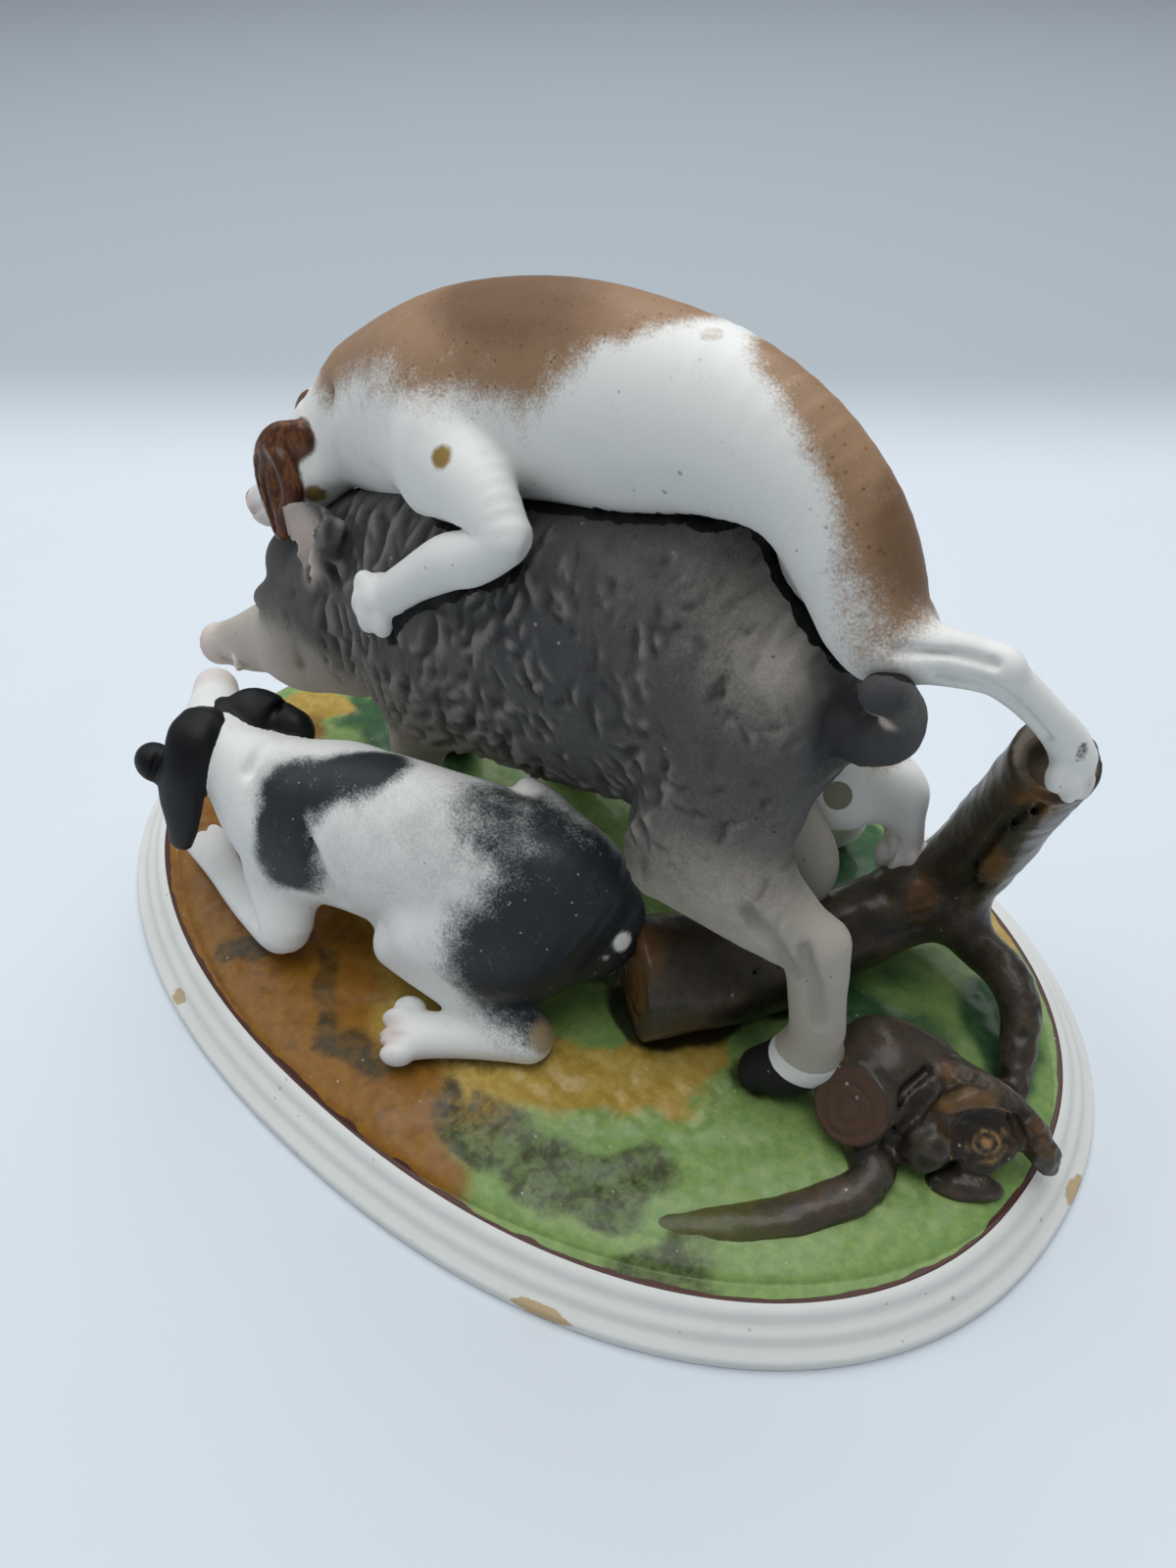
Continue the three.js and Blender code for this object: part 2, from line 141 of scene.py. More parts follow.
class Clay:
    """A block of digital clay inside a box, its field negative inside the shape."""

    def __init__(self, low, high, step=STEP):
        self.step = step
        self.low = np.floor(np.array(low, float) / step) * step
        count = np.ceil((np.array(high, float) - self.low) / step).astype(int) + 1
        self.axes = [self.low[i] + step * np.arange(count[i]) for i in range(3)]
        self.field = np.full(count, FAR, np.float32)

    def window(self, low, high):
        """The part of the grid inside a box, as slices and coordinates, or None where it is empty."""
        cut = []
        for axis, a, b in zip(self.axes, low, high):
            cut.append(slice(int(np.searchsorted(axis, a)), int(np.searchsorted(axis, b))))
        if any(c.stop <= c.start for c in cut):
            return None, (0, 0, 0)
        grid = np.meshgrid(*[axis[c] for axis, c in zip(self.axes, cut)], indexing="ij", sparse=True)
        return tuple(cut), [g.astype(np.float32) for g in grid]

    def merge(self, cut, d, k, carve):
        """Adds or carves a shape given by its distance d, with a blend k millimetres wide."""
        here = self.field[cut]
        self.field[cut] = smooth_max(here, -d, k) if carve else smooth_min(here, d, k)

    def limb(self, stations, k, side=(0, 1, 0), steps=5, carve=False):
        """A run of oval sections: stations are x, y, z, half width along side, half depth.
        Each voxel is measured in the section at the nearest point of the run's centre line."""
        run = spline(stations, steps)
        run[:, 3:] = np.maximum(run[:, 3:], 0.3)
        reach = run[:, 3:].max() + k + MARGIN
        whole, _ = self.window(run[:, :3].min(0) - reach, run[:, :3].max(0) + reach)
        if whole is None:
            return
        shape = self.field[whole].shape
        nearest = np.full(shape, UNSET, np.float32)
        u, v, c = (np.zeros(shape, np.float32) for _ in range(3))
        w, h = np.ones(shape, np.float32), np.ones(shape, np.float32)
        side = np.array(side, float)
        for a, b in zip(run[:-1], run[1:]):
            axis = b[:3] - a[:3]
            length = np.linalg.norm(axis)
            if length < 1e-6:
                continue
            axis /= length
            across = unit(side - side @ axis * axis)
            up = np.cross(axis, across)
            near = max(a[3:].max(), b[3:].max()) + k + MARGIN
            cut, (x, y, z) = self.window(np.minimum(a[:3], b[:3]) - near, np.maximum(a[:3], b[:3]) + near)
            if cut is None:
                continue
            grid = [g - np.float32(o) for g, o in zip((x, y, z), a[:3])]
            along = project(grid, axis)
            t = np.clip(along / np.float32(length), 0, 1)
            su = project(grid, across)
            sv = project(grid, up)
            sc = along - t * np.float32(length)
            far = su * su + sv * sv + sc * sc
            inner = tuple(slice(m.start - n.start, m.stop - n.start) for m, n in zip(cut, whole))
            closer = far < nearest[inner]
            for store, value in (
                (nearest, far), (u, su), (v, sv), (c, sc),
                (w, np.float32(a[3]) + t * np.float32(b[3] - a[3])),
                (h, np.float32(a[4]) + t * np.float32(b[4] - a[4])),
            ):
                np.copyto(store[inner], value, where=closer)
        m = np.minimum(w, h)
        k0 = np.sqrt((u / w) ** 2 + (v / h) ** 2 + (c / m) ** 2)
        k1 = np.sqrt((u / (w * w)) ** 2 + (v / (h * h)) ** 2 + (c / (m * m)) ** 2) + 1e-6
        d = np.where(nearest < UNSET, k0 * (k0 - 1) / k1, np.float32(FAR))
        self.merge(whole, d, k, carve)

    def ball(self, centre, radii, k, axes=None, carve=False):
        """An ellipsoid. axes are its three unit directions, as rows."""
        centre = np.array(centre, float)
        radii = np.array(radii, float) * np.ones(3)
        axes = np.eye(3) if axes is None else np.array(axes, float)
        reach = np.abs(axes.T * radii).sum(1) + k + MARGIN
        cut, grid = self.window(centre - reach, centre + reach)
        if cut is None:
            return
        grid = [g - np.float32(c) for g, c in zip(grid, centre)]
        k0 = 0
        k1 = 0
        for axis, r in zip(axes, radii):
            q = project(grid, axis)
            k0 = k0 + (q / np.float32(r)) ** 2
            k1 = k1 + (q / np.float32(r * r)) ** 2
        k0 = np.sqrt(k0)
        d = k0 * (k0 - 1) / (np.sqrt(k1) + 1e-6)
        self.merge(cut, d, k, carve)

    def muscle(self, start, end, half_width, half_depth, k, side=(0, 1, 0)):
        """An oval muscle whose long axis runs from start to end."""
        start, end = np.array(start, float), np.array(end, float)
        axis = end - start
        length = np.linalg.norm(axis)
        axis /= length
        side = np.array(side, float)
        across = unit(side - side @ axis * axis)
        up = np.cross(axis, across)
        self.ball((start + end) / 2, (length / 2, half_width, half_depth), k, (axis, across, up))

    def crease(self, points, radius, k, steps=5):
        """Carves a round-bottomed line through the points."""
        stations = [(*p, radius, radius) for p in points]
        self.limb(stations, k=k, steps=steps, carve=True)

    def rope(self, points, k):
        """A round rope through points that are given as x, y, z and radius."""
        self.limb([(*p, p[3]) for p in points], k=k)

    def slice_off(self, point, normal, low, high, k):
        """Cuts away what lies beyond a plane, inside a box."""
        cut, (x, y, z) = self.window(low, high)
        n = unit(normal)
        d = (x - point[0]) * n[0] + (y - point[1]) * n[1] + (z - point[2]) * n[2]
        self.field[cut] = smooth_max(self.field[cut], d.astype(np.float32), k)

    def cut_below(self, height):
        """Cuts away what lies below a height."""
        self.field = np.maximum(self.field, (height - self.axes[2]).astype(np.float32))

    def mesh(self):
        """Vertices in millimetres and faces of the zero level."""
        grid = openvdb.FloatGrid(FAR)
        grid.copyFromArray(self.field)
        points, tris, quads = grid.convertToPolygons(0.0, 0.0)
        verts = points * self.step + self.low
        return verts, tris, quads


def project(grid, way):
    """Distance along a direction at every point of a grid."""
    return sum(g * np.float32(w) for g, w in zip(grid, way))


def sample(clay, p):
    """The clay's field at points p, by trilinear interpolation."""
    q = (p - clay.low) / clay.step
    top = np.array(clay.field.shape) - 2
    cell = np.clip(np.floor(q).astype(int), 0, top)
    f = q - cell
    out = 0
    for corner in CORNERS:
        w = np.prod(np.abs(1 - np.array(corner) - f), axis=1)
        out = out + w * clay.field[tuple((cell + corner).T)]
    return out


# The wild boar. It faces -X; its left flank, the near side, faces -Y.

def boar_clay():
    c = Clay((-98, -29, 8), (72, 31, 109), BOAR_STEP)
    c.limb([
        (48, 1, 82, 4, 6), (46, 1, 81.5, 10, 11.5), (42, 2, 79.5, 15, 18.5), (35, 2, 77, 18.5, 25.5),
        (22, 1, 74.5, 20.5, 26.5), (4, 0, 70, 21.5, 26.5), (-14, -1, 66, 21, 26.5), (-30, -3, 63, 18.5, 24),
        (-44, -6, 61, 14, 18.5),
    ], k=1, steps=3)
    c.limb([
        (-40, -6, 62, 14, 18), (-53, -10, 55.5, 11.5, 13.5), (-62.5, -12, 48.5, 8.4, 9),
        (-73, -13, 42.4, 6.4, 6.9), (-83, -14, 36.8, 5, 5.4), (-90, -14.8, 33.4, 4.5, 4.7),
        (-92.4, -15, 32.4, 4.6, 4.8),
    ], k=5, steps=4)
    snout_way = unit((-8, -1, -3.5))
    c.slice_off((-92.6, -15, 32.3), snout_way, (-100, -24, 24), (-86, -6, 44), 1.2)
    # Domed forehead, deep throat and the crest of the neck
    c.ball((-61.4, -9.6, 63), (6.6, 7.4, 7.4), k=3)
    c.muscle((-44, -11, 48), (-70, -14, 39), 7.5, 6.5, k=5)
    c.muscle((-52, -8, 71), (-26, -5, 86), 8.5, 6, k=5)
    # Cheeks, jaw, brow ridges and jowl
    c.muscle((-50, -15, 62), (-64, -15, 44), 5, 7, k=5)
    c.muscle((-50, -4, 62), (-64, -9, 44), 5, 7, k=5)
    c.muscle((-62, -13, 44), (-84, -14.5, 32.5), 4.2, 3.4, k=3)
    c.ball((-61.5, -18.2, 57.5), (4.4, 2.4, 3), k=3)
    c.ball((-61.5, -6, 58), (4.4, 2.4, 3), k=3)
    c.muscle((-40, -5, 52), (-54, -8, 45), 10, 8, k=6)
    for s in (-1, 1):
        # Hams, shoulders and their muscles
        c.muscle((42.5 - 2.5 * s, 1 + 7 * s, 88), (34 - 3 * s, 1 + 12.5 * s, 43), 10, 11.5, k=6)
        c.muscle((-14, -0.5 + 8.5 * s, 82), (-28, -1 + 11 * s, 44), 11, 14, k=6)
        c.muscle((-4, 9 * s, 82), (-20, 10 * s, 64), 9, 8, k=5)
    # Near hind leg, its hock, tendon and hoof
    c.limb([
        (36, -14, 54, 9, 12), (49, -14.6, 50.6, 6.5, 7.6), (54.6, -14, 49, 5.6, 6.2),
        (59, -13, 46.8, 5, 5.2), (60.8, -12.6, 43, 4.6, 4.8), (61.6, -12.4, 37, 4.1, 4.3),
        (62.6, -11.6, 28, 4.2, 4.4), (62.2, -11, 21, 4.9, 5),
    ], k=4)
    c.muscle((42, -13.6, 60), (58, -13, 47), 5.2, 5, k=4)
    c.ball((61.4, -12, 48.6), (2.8, 3, 3), k=3)
    c.limb([(62.4, -12, 48.6, 2.4, 2.2), (63.8, -12, 40, 2, 1.9), (64.6, -11.4, 29, 2.2, 2)], k=2)
    c.limb([(62, -10.5, 21, 5, 5), (59.5, -12.5, 17, 5.4, 5), (55.5, -14.5, 14, 4.4, 3.6)], k=2)
    # Far hind leg
    c.limb([(29, 14, 54, 7, 9), (37, 14, 43, 5, 6), (44, 14.2, 35.6, 4, 4.4), (44.2, 14.8, 28, 3.4, 3.5),
            (42, 15, 20, 3.4, 3.4), (38.4, 15, 14.6, 4, 3.6)], k=4)
    # Forelegs
    c.limb([(-24, -12, 50, 7, 9), (-28, -13, 38, 5, 6), (-30, -13, 26, 4.2, 4.4), (-31, -13, 19, 4.4, 4.4),
            (-35, -14, 14, 4.6, 4)], k=4)
    c.limb([(-30, 9, 48, 7, 9), (-38, 11, 36, 5, 6), (-43, 12, 25, 4.2, 4.4), (-45, 12, 18, 4.4, 4.4),
            (-49, 12, 13.5, 4.6, 4)], k=4)
    # Tail, a tight curl with a rounded tip
    c.limb([(46, 0, 78.5, 5.4, 5.6), (51.7, -1, 77.9, 4.5, 4.7), (56.9, -2.5, 78.5, 3.6, 3.7),
            (61.2, -4, 82.2, 3.4, 3.5), (62.5, -5.5, 87.3, 2.9, 3), (61.2, -6.5, 90.6, 2.7, 2.7)], k=1.6)
    c.ball((59.8, -7.4, 90.4), (3.0, 2.8, 2.9), k=0.6)

    # Ears, cupped towards the front, their tips hanging
    for cup in (False, True):
        boar_ear(c, -1, cup)
        boar_ear(c, 1, cup)
    boar_relief(c)
    return c


# The near ear from its root to its tip: place, half width and half depth
BOAR_EAR = [
    (-42.2, -19.2, 82, 6.4, 3.2), (-43.0, -18.8, 77, 5.4, 3.0), (-43.8, -18.0, 72, 3.8, 2.6),
    (-44.2, -17.2, 67.6, 1.7, 1.8),
]
# The far ear mirrors it in a plane through the head, half of this sum, and sits a little off
EAR_Y_SUM = -11.2
FAR_EAR_SHIFT = np.array((-0.8, 1.6, 1.0))
# The hollow inside an ear is slimmer, thinner and shifted out of the ear's front
EAR_CUP_SLIM = 1.5
EAR_CUP_THIN = 0.5
EAR_CUP_SHIFT = 1.5


def boar_ear(c, s, cup):
    """One ear, or the hollow inside it. s is -1 for the near ear."""
    shift = FAR_EAR_SHIFT * (s > 0)
    if cup:
        shift = shift + EAR_CUP_SHIFT * np.array((-0.8, 1.0 * s, 1.1))
    run = []
    for x, y, z, half_wide, half_deep in BOAR_EAR:
        at = np.array((x, y if s < 0 else EAR_Y_SUM - y, z)) + shift
        run.append((*at, max(half_wide - EAR_CUP_SLIM * cup, 0.4), max(half_deep - EAR_CUP_THIN * cup, 0.5)))
    c.limb(run, side=unit((0.84, -0.2 * s, 0.38)), k=0.6 if cup else 1.4, carve=cup)


def boar_relief(c):
    """Mouth, tusks, eyes, nostrils and creases, worked into the finished shape."""
    # Mouth
    c.crease([(-84.5, -18.6, 33.6), (-80, -18.6, 34.6), (-76.5, -18.4, 36), (-73.5, -18.2, 36.2)], 0.85, 0.6)
    c.crease([(-84.5, -9.8, 33.6), (-80, -9.2, 34.6), (-75, -8.6, 36.2)], 0.8, 0.6)
    # Tusks and the slits of the eyes
    for y in (-18.6, -9.0):
        c.rope([(-78.6, y, 34.6, 1.0), (-78.4, y - 0.4, 37.6, 0.5)], 0.4)
    for y in (-19.6, -4.8):
        c.crease([(-65.4, y, 55.2), (-62.8, y, 56.4), (-60, y, 55.4)], 0.8, 0.8)
    # Nostrils in the flat of the snout
    for y in (-16.8, -13.0):
        c.ball((-93, y, 34.2), (1.4, 0.8, 1.1), k=0.5, carve=True)
    # Brow line and the folds of the jowl
    c.crease([(-57.8, -19.5, 63.6), (-54, -20.2, 64.6), (-50.5, -20.0, 64.9)], 0.8, 1.2)
    c.crease([(-52, -21.6, 60), (-50, -22, 54), (-52, -19.8, 48)], 0.5, 1.6)
    # Folds on the near haunch and the furrow beside the tendon
    c.crease([(31.5, -13.3, 91.4), (32.3, -14.6, 89.5), (33.9, -15.5, 87.3), (35.8, -15.9, 83.8),
              (38.1, -15.8, 81.9), (40.4, -15.3, 80.5)], 0.45, 0.7)
    c.crease([(36.3, -15.0, 87.6), (37.4, -15.3, 85.7), (38.4, -15.3, 84.7), (40.8, -15.1, 82.2)], 0.4, 0.7)
    c.crease([(60.4, -16.6, 50), (62, -16.4, 46), (63.6, -16, 41), (64.6, -15.6, 35)], 0.7, 1.6)
    c.crease([(52, -20.4, 54.5), (57, -18.6, 50), (60, -17.2, 44)], 0.6, 1.8)


# The hound on the boar's back, one hind paw braced on the broken bole

def top_hound_clay():
    c = Clay((-73, -28, 58), (86, 29, 130))
    c.limb([
        (-50, 0, 89, 7, 8), (-45, 0, 92.5, 11, 13.5), (-36, 0, 97, 13.5, 15.5), (-22, 1, 103.5, 13.5, 16.5),
        (-5, 1, 108.8, 13.2, 16.2), (10, 1, 111.2, 12.6, 15.4), (24.8, 1, 113, 10.6, 12.8),
        (37, 1, 111.4, 9, 10), (46.6, 1, 106, 7.6, 8), (52.4, 1, 98.6, 6.2, 6.4), (55, 0.4, 93, 5, 5),
    ], k=1, steps=4)
    c.limb([
        (-44, -2, 94, 9, 11), (-49.6, -7, 90, 7.6, 8.6), (-53.6, -11, 84.5, 6.8, 7),
        (-59, -12.4, 79.2, 4.9, 5.2), (-63, -13.4, 75.9, 4.2, 4.2),
    ], k=4, steps=4)
    # Brow, cheek and nose
    c.ball((-58.4, -15.4, 84.2), (2.6, 2.2, 2.0), k=2)
    c.ball((-59.6, -9.2, 84.4), (2.6, 2.2, 2.0), k=2)
    c.ball((-65, -14.4, 76.8), (2.2, 2.3, 2.0), k=1)
    c.muscle((-46, -12, 88), (-59, -14.8, 77.4), 4.2, 3.4, k=3)
    # Shoulders, the bent near foreleg with its elbow, and the far foreleg
    c.muscle((-34, -7, 110), (-8, -13.5, 94), 6.6, 11, k=6)
    c.muscle((-34, 9, 110), (-10, 14.5, 92), 6.6, 11, k=6)
    c.limb([
        (-16, -13.2, 99.6, 6, 9), (-4, -15.5, 98.4, 5.2, 6.6), (2.2, -17.8, 95, 3.8, 4),
        (-2.7, -19, 90.6, 4.0, 4.3), (-8, -19.4, 87.8, 3.9, 4.3), (-16.3, -20.2, 81.4, 3.2, 3.5),
        (-20.8, -20.2, 77.4, 3.4, 3.6), (-23, -20.6, 76, 4.2, 4.1),
    ], k=3)
    c.ball((4.4, -17.4, 95.6), (2.4, 2.6, 2.6), k=2.4)
    c.limb([
        (-10, 15, 96, 6, 7.5), (-4, 20, 90, 4.8, 5.2), (-12, 23, 82, 4.2, 4.3), (-19, 23.4, 77, 3.8, 3.8),
        (-25, 23, 73, 4.4, 4),
    ], k=3.5)
    # Toes of the forepaws
    for dx, dy, dz in ((-4.2, -2.4, -1.4), (-4.8, 0.4, -2.2), (-3.8, 2.8, -2.6)):
        c.ball((-23.5 + dx, 23.6 - dy, 73.6 + dz), (2.5, 1.7, 2.1), k=0.9)
    for x, y, z in ((-27, -21.2, 77), (-26.2, -22.8, 74.4), (-24, -23.6, 72.8), (-21.2, -23, 72.8)):
        c.ball((x, y, z), (1.8, 1.8, 2.6), k=1.2)

    # Haunches: the near one carries the braced leg
    c.muscle((42, -0.6, 108), (56.4, -0.6, 91.4), 5.4, 6.2, k=5)
    c.limb([
        (52.5, -1, 95.6, 5, 5.4), (57, -1.4, 93.4, 4.7, 4.8), (62.8, 0, 94, 3.8, 3.9),
        (68.4, 4.2, 92.3, 3.1, 3.4), (71.8, 7, 89.3, 2.7, 2.9), (75, 10, 85.2, 2.5, 2.7),
        (77.6, 13.4, 80.6, 2.8, 3), (79.2, 15, 77, 3.1, 3.1),
    ], k=3.4)
    c.ball((70, 4, 93.8), (2.6, 2.2, 2.2), k=2.2)
    for dx, dy, dz in ((1.4, -1.8, -2.8), (2.0, 0.8, -3.6), (1.0, 3.2, -3.2), (-0.6, -2.8, -1.4)):
        c.ball((79.2 + dx, 15 + dy, 76.6 + dz), (1.6, 1.7, 2.8), k=0.8)
    c.muscle((38, 6, 110), (49, 10, 84), 7.6, 9.6, k=6)
    c.limb([
        (47, 13, 86, 6.5, 7.5), (45.5, 17, 80, 4.8, 5), (42, 20, 73, 4, 4), (38, 21.5, 68, 3.8, 3.8),
        (33, 22.5, 66, 3.6, 3.2),
    ], k=4)
    # Tail, laid down behind the far thigh
    c.limb([(50, 5, 97, 3.4, 3.4), (54, 9, 93, 2.8, 2.8), (55.5, 13, 86, 2.4, 2.4), (53, 16, 79, 2, 2),
            (48.5, 18, 75, 1.5, 1.5)], k=2)
    # Hollows of the flanks
    c.ball((28, -13.5, 100), (10, 4.5, 7), k=6, carve=True)
    c.ball((28, 15.5, 100), (10, 4.5, 7), k=6, carve=True)
    top_hound_ears(c)
    top_hound_relief(c)
    return c


def top_hound_ears(c):
    """Ears, folded and hanging."""
    c.limb([
        (-49, -13.6, 93.4, 1.9, 2.9), (-52.8, -15.8, 91, 2.1, 4.2), (-54.8, -17.1, 87, 2.1, 4.4),
        (-53.4, -18.3, 82.8, 2.0, 3.7), (-51, -19.2, 78.4, 1.9, 2.8),
    ], k=0.8)
    c.rope([(-53.2, -17, 91.2, 1.5), (-50.2, -17.6, 89.4, 1.7), (-48.6, -18, 85, 1.7),
            (-49.2, -19, 81, 1.7), (-50.4, -20, 77.6, 1.6)], 0.8)
    c.limb([
        (-55, -3, 92.4, 2, 3.4), (-60, -2.6, 90.6, 2.1, 4.4), (-62.6, -2.4, 86.6, 2, 4.4),
        (-63.6, -2.2, 81, 1.8, 3.4), (-63.2, -2.6, 77.4, 1.5, 2.2),
    ], k=0.8)


def top_hound_relief(c):
    # Folds of the near ear, and the line of the mouth on both sides
    c.crease([(-53.2, -19.2, 89.6), (-54.2, -19.6, 86), (-52.6, -20.4, 81.6), (-50.8, -21, 78)], 0.6, 0.5)
    c.crease([(-56, -18.6, 89.4), (-56.6, -19, 86), (-55, -19.8, 82.4)], 0.45, 0.5)
    c.crease([(-58, -17.2, 79.4), (-61.4, -17.4, 76.8), (-64.6, -16.6, 74.8)], 0.5, 0.5)
    c.crease([(-57, -8.6, 78.8), (-61, -9.8, 76.2), (-64.2, -12, 74.4)], 0.5, 0.5)
    # Sinews of the braced leg, the elbow's wrinkle, and creases at chest, shoulder and neck
    c.crease([(64.6, -2.6, 93.4), (69.8, 1.6, 91.8), (73.2, 5.6, 87.6), (76.4, 9.6, 82.4)], 0.5, 1.2)
    c.crease([(59.6, -4.8, 95.6), (65.2, -1, 95.8), (69.6, 2.2, 94.6)], 0.5, 1.4)
    c.crease([(7, -13, 101), (8.6, -15.4, 97.5), (7.4, -17, 94)], 0.8, 2)
    c.crease([(-30.5, -13.8, 93), (-28.4, -15.5, 90), (-22, -17.5, 87.6)], 0.7, 2)
    c.crease([(-43.4, -10.4, 101), (-44.2, -12.8, 95), (-42.4, -13.4, 88.4)], 0.9, 3)


# The crouching hound on the near side, its head turned up under the boar's snout

def left_hound_clay():
    c = Clay((-70, -64, 7), (44, -6, 64))
    side = (0.6, -0.8, 0)
    c.limb([
        (24, -20.5, 29, 7, 10), (18.4, -23.6, 33, 12, 15.4), (8.6, -27.8, 37, 13, 17),
        (-3.6, -31.4, 37.2, 12.4, 17.4), (-15, -34.4, 36.8, 12.4, 17), (-27, -38, 36, 12.5, 15),
        (-36, -41, 37, 10, 12),
    ], side=side, k=1, steps=4)
    c.limb([
        (-33, -40, 40, 8, 10), (-41, -43, 43.6, 6.6, 7.6), (-46.6, -43.2, 46, 6.8, 6.8),
        (-51.2, -40.4, 46.8, 5.8, 5.8), (-56.2, -37, 46.6, 4.6, 4.8), (-60.8, -34, 45.8, 4.1, 4.2),
    ], side=side, k=4)
    # Near thigh and hind leg, folded under the body
    c.muscle((25, -26.6, 31.4), (0, -38.6, 25.6), 10, 12.6, side=side, k=5)
    c.muscle((11, -37, 34), (-2.2, -42, 22.6), 5.8, 7.4, side=side, k=4)
    c.muscle((25, -17, 32), (16, -26.6, 48), 8, 7, k=5)
    c.limb([(-3.4, -41, 24, 5, 5.6), (5.2, -39.4, 21, 4.8, 5), (14.4, -38, 17.8, 4.2, 4.4),
            (22, -36.6, 16, 4, 4)], side=side, k=3)
    c.limb([
        (23.4, -36.9, 15.6, 4.2, 4.1), (19.5, -39.5, 14.4, 3.6, 3.6), (15, -42.7, 14, 3.5, 3.4),
        (9.7, -46.4, 13.9, 4.2, 3.6), (6.6, -49.2, 14, 4.8, 3.5),
    ], side=side, k=2)
    # Toes of the near hind foot, which points towards -X and -Y
    toe_way = (unit((-0.78, -0.62, 0)), unit((0.62, -0.78, 0)), (0, 0, 1))
    for dx, dy in ((-3.6, 3.6), (-3.2, 0.6), (-1.0, -2.2), (1.8, -4.4)):
        c.ball((6.6 + dx, -49.2 + dy, 14 + 0.25 * abs(dx)), (2.9, 1.8, 2.4), axes=toe_way, k=0.9)
    # Far hind leg
    c.muscle((23, -15, 32), (4, -20, 20), 8, 11, side=side, k=4)
    c.limb([(20, -14, 15, 4, 4), (8, -19, 14.5, 4, 3.6), (0, -24, 14.5, 5, 3.6)], side=side, k=3)
    # Forelegs
    c.muscle((-22, -39, 48), (-30, -46, 24), 6.6, 10, side=side, k=5)
    c.muscle((-20, -30, 47), (-32, -34, 26), 7, 10, side=side, k=5)
    c.limb([(-29, -46.5, 27, 5.5, 6.5), (-25.4, -50.4, 18.4, 4.6, 4.8), (-33, -50.2, 16.6, 3.9, 3.9),
            (-41, -49, 15.6, 3.5, 3.5), (-50, -47, 14.8, 3.4, 3.3), (-57, -45, 14.4, 4.2, 3.3)],
           side=side, k=3)
    c.limb([(-34, -34, 30, 6.5, 8), (-40, -31, 21, 4.4, 4.8), (-52, -30, 15.5, 3.6, 3.6),
            (-62, -31, 14, 4, 3.2)], side=side, k=3)
    for dy in (-2.6, 0, 2.6):
        c.ball((-59.6, -44.6 + dy, 14), (3.0, 1.5, 2.2), k=0.8)
        c.ball((-64.4, -31 + dy, 13), (3.0, 1.5, 2.2), k=0.8)
    # Tail, curled forward over the back
    c.limb([(24, -18, 27, 3.6, 3.6), (27, -17, 33, 3.4, 3.4), (25, -17.5, 40, 3.1, 3.1),
            (18, -18, 45.6, 2.9, 2.9), (11, -18.6, 49.6, 2.7, 2.7), (8, -19.6, 51.2, 2.5, 2.5)], k=1.2)
    left_hound_ears(c)
    left_hound_relief(c)
    return c


def left_hound_ears(c):
    """Ears, hanging in two lobes each."""
    c.limb([(-47.4, -45, 51.6, 4.2, 2.4), (-46, -48.4, 50.6, 4.6, 2.8), (-45.4, -51.4, 46, 4.4, 2.8),
            (-46.4, -53, 39.6, 4.6, 2.4), (-46.9, -54, 33.6, 3.4, 2), (-48, -54.6, 29, 2.4, 1.7)],
           side=(1, 0.3, 0), k=1)
    c.ball((-52, -53.2, 44.6), (4.0, 3.4, 3.6), k=1.0)
    c.limb([(-47.3, -39.8, 50.2, 3, 2.6), (-44.7, -36.2, 49.8, 4.6, 3), (-41.2, -33.4, 47.6, 4, 2.6),
            (-40, -32, 43.6, 3, 2)], side=(0.4, 1, 0.3), k=1)
    c.ball((-44.9, -36.4, 49.2), (4.2, 4.4, 3.4), k=1.0)
    c.ball((-38.8, -32.2, 46.6), (3.8, 3.4, 4.2), k=0.8)


def left_hound_relief(c):
    # Clefts between the toes, and folds before the thigh, behind the shoulder and at the neck
    for points in (
        [(8.2, -51.2, 17), (4.8, -52.8, 16), (2.8, -53.6, 13)],
        [(5.0, -49.2, 17.4), (1.8, -51, 16), (0.4, -52.2, 13)],
        [(3.6, -46.2, 17.2), (0.2, -48, 16), (-1, -49, 13)],
    ):
        c.crease(points, 0.4, 0.5)
    c.crease([(-5.5, -41.5, 33), (-7.6, -43.6, 27), (-6, -45.6, 20)], 0.8, 2)
    c.crease([(-13, -45, 30), (-15.5, -46.6, 38), (-19, -43.5, 46)], 0.7, 3)
    c.crease([(-36, -36, 50.6), (-34.8, -40.5, 51.4), (-33.6, -45.5, 48)], 0.7, 2.4)
    # Line of the mouth on both sides, and a nostril
    c.crease([(-51.2, -45, 43.6), (-56.2, -41.2, 42.8), (-61.2, -37.2, 42.2)], 0.5, 0.6)
    c.crease([(-49.2, -35, 44), (-54.2, -32.6, 43), (-59.6, -31, 42.2)], 0.5, 0.6)
    c.ball((-63.8, -33.8, 46.2), (0.8, 0.6, 0.6), k=0.4, carve=True)
    # Where the ears fold
    c.crease([(-49.5, -50.4, 50), (-49.6, -53.6, 47.4), (-49.6, -56.4, 43)], 0.5, 1)
    c.crease([(-42, -31.6, 50.6), (-41, -34.2, 51.2), (-39.8, -37, 50)], 0.7, 0.8)


# The hound on the far side, one hind paw on the log

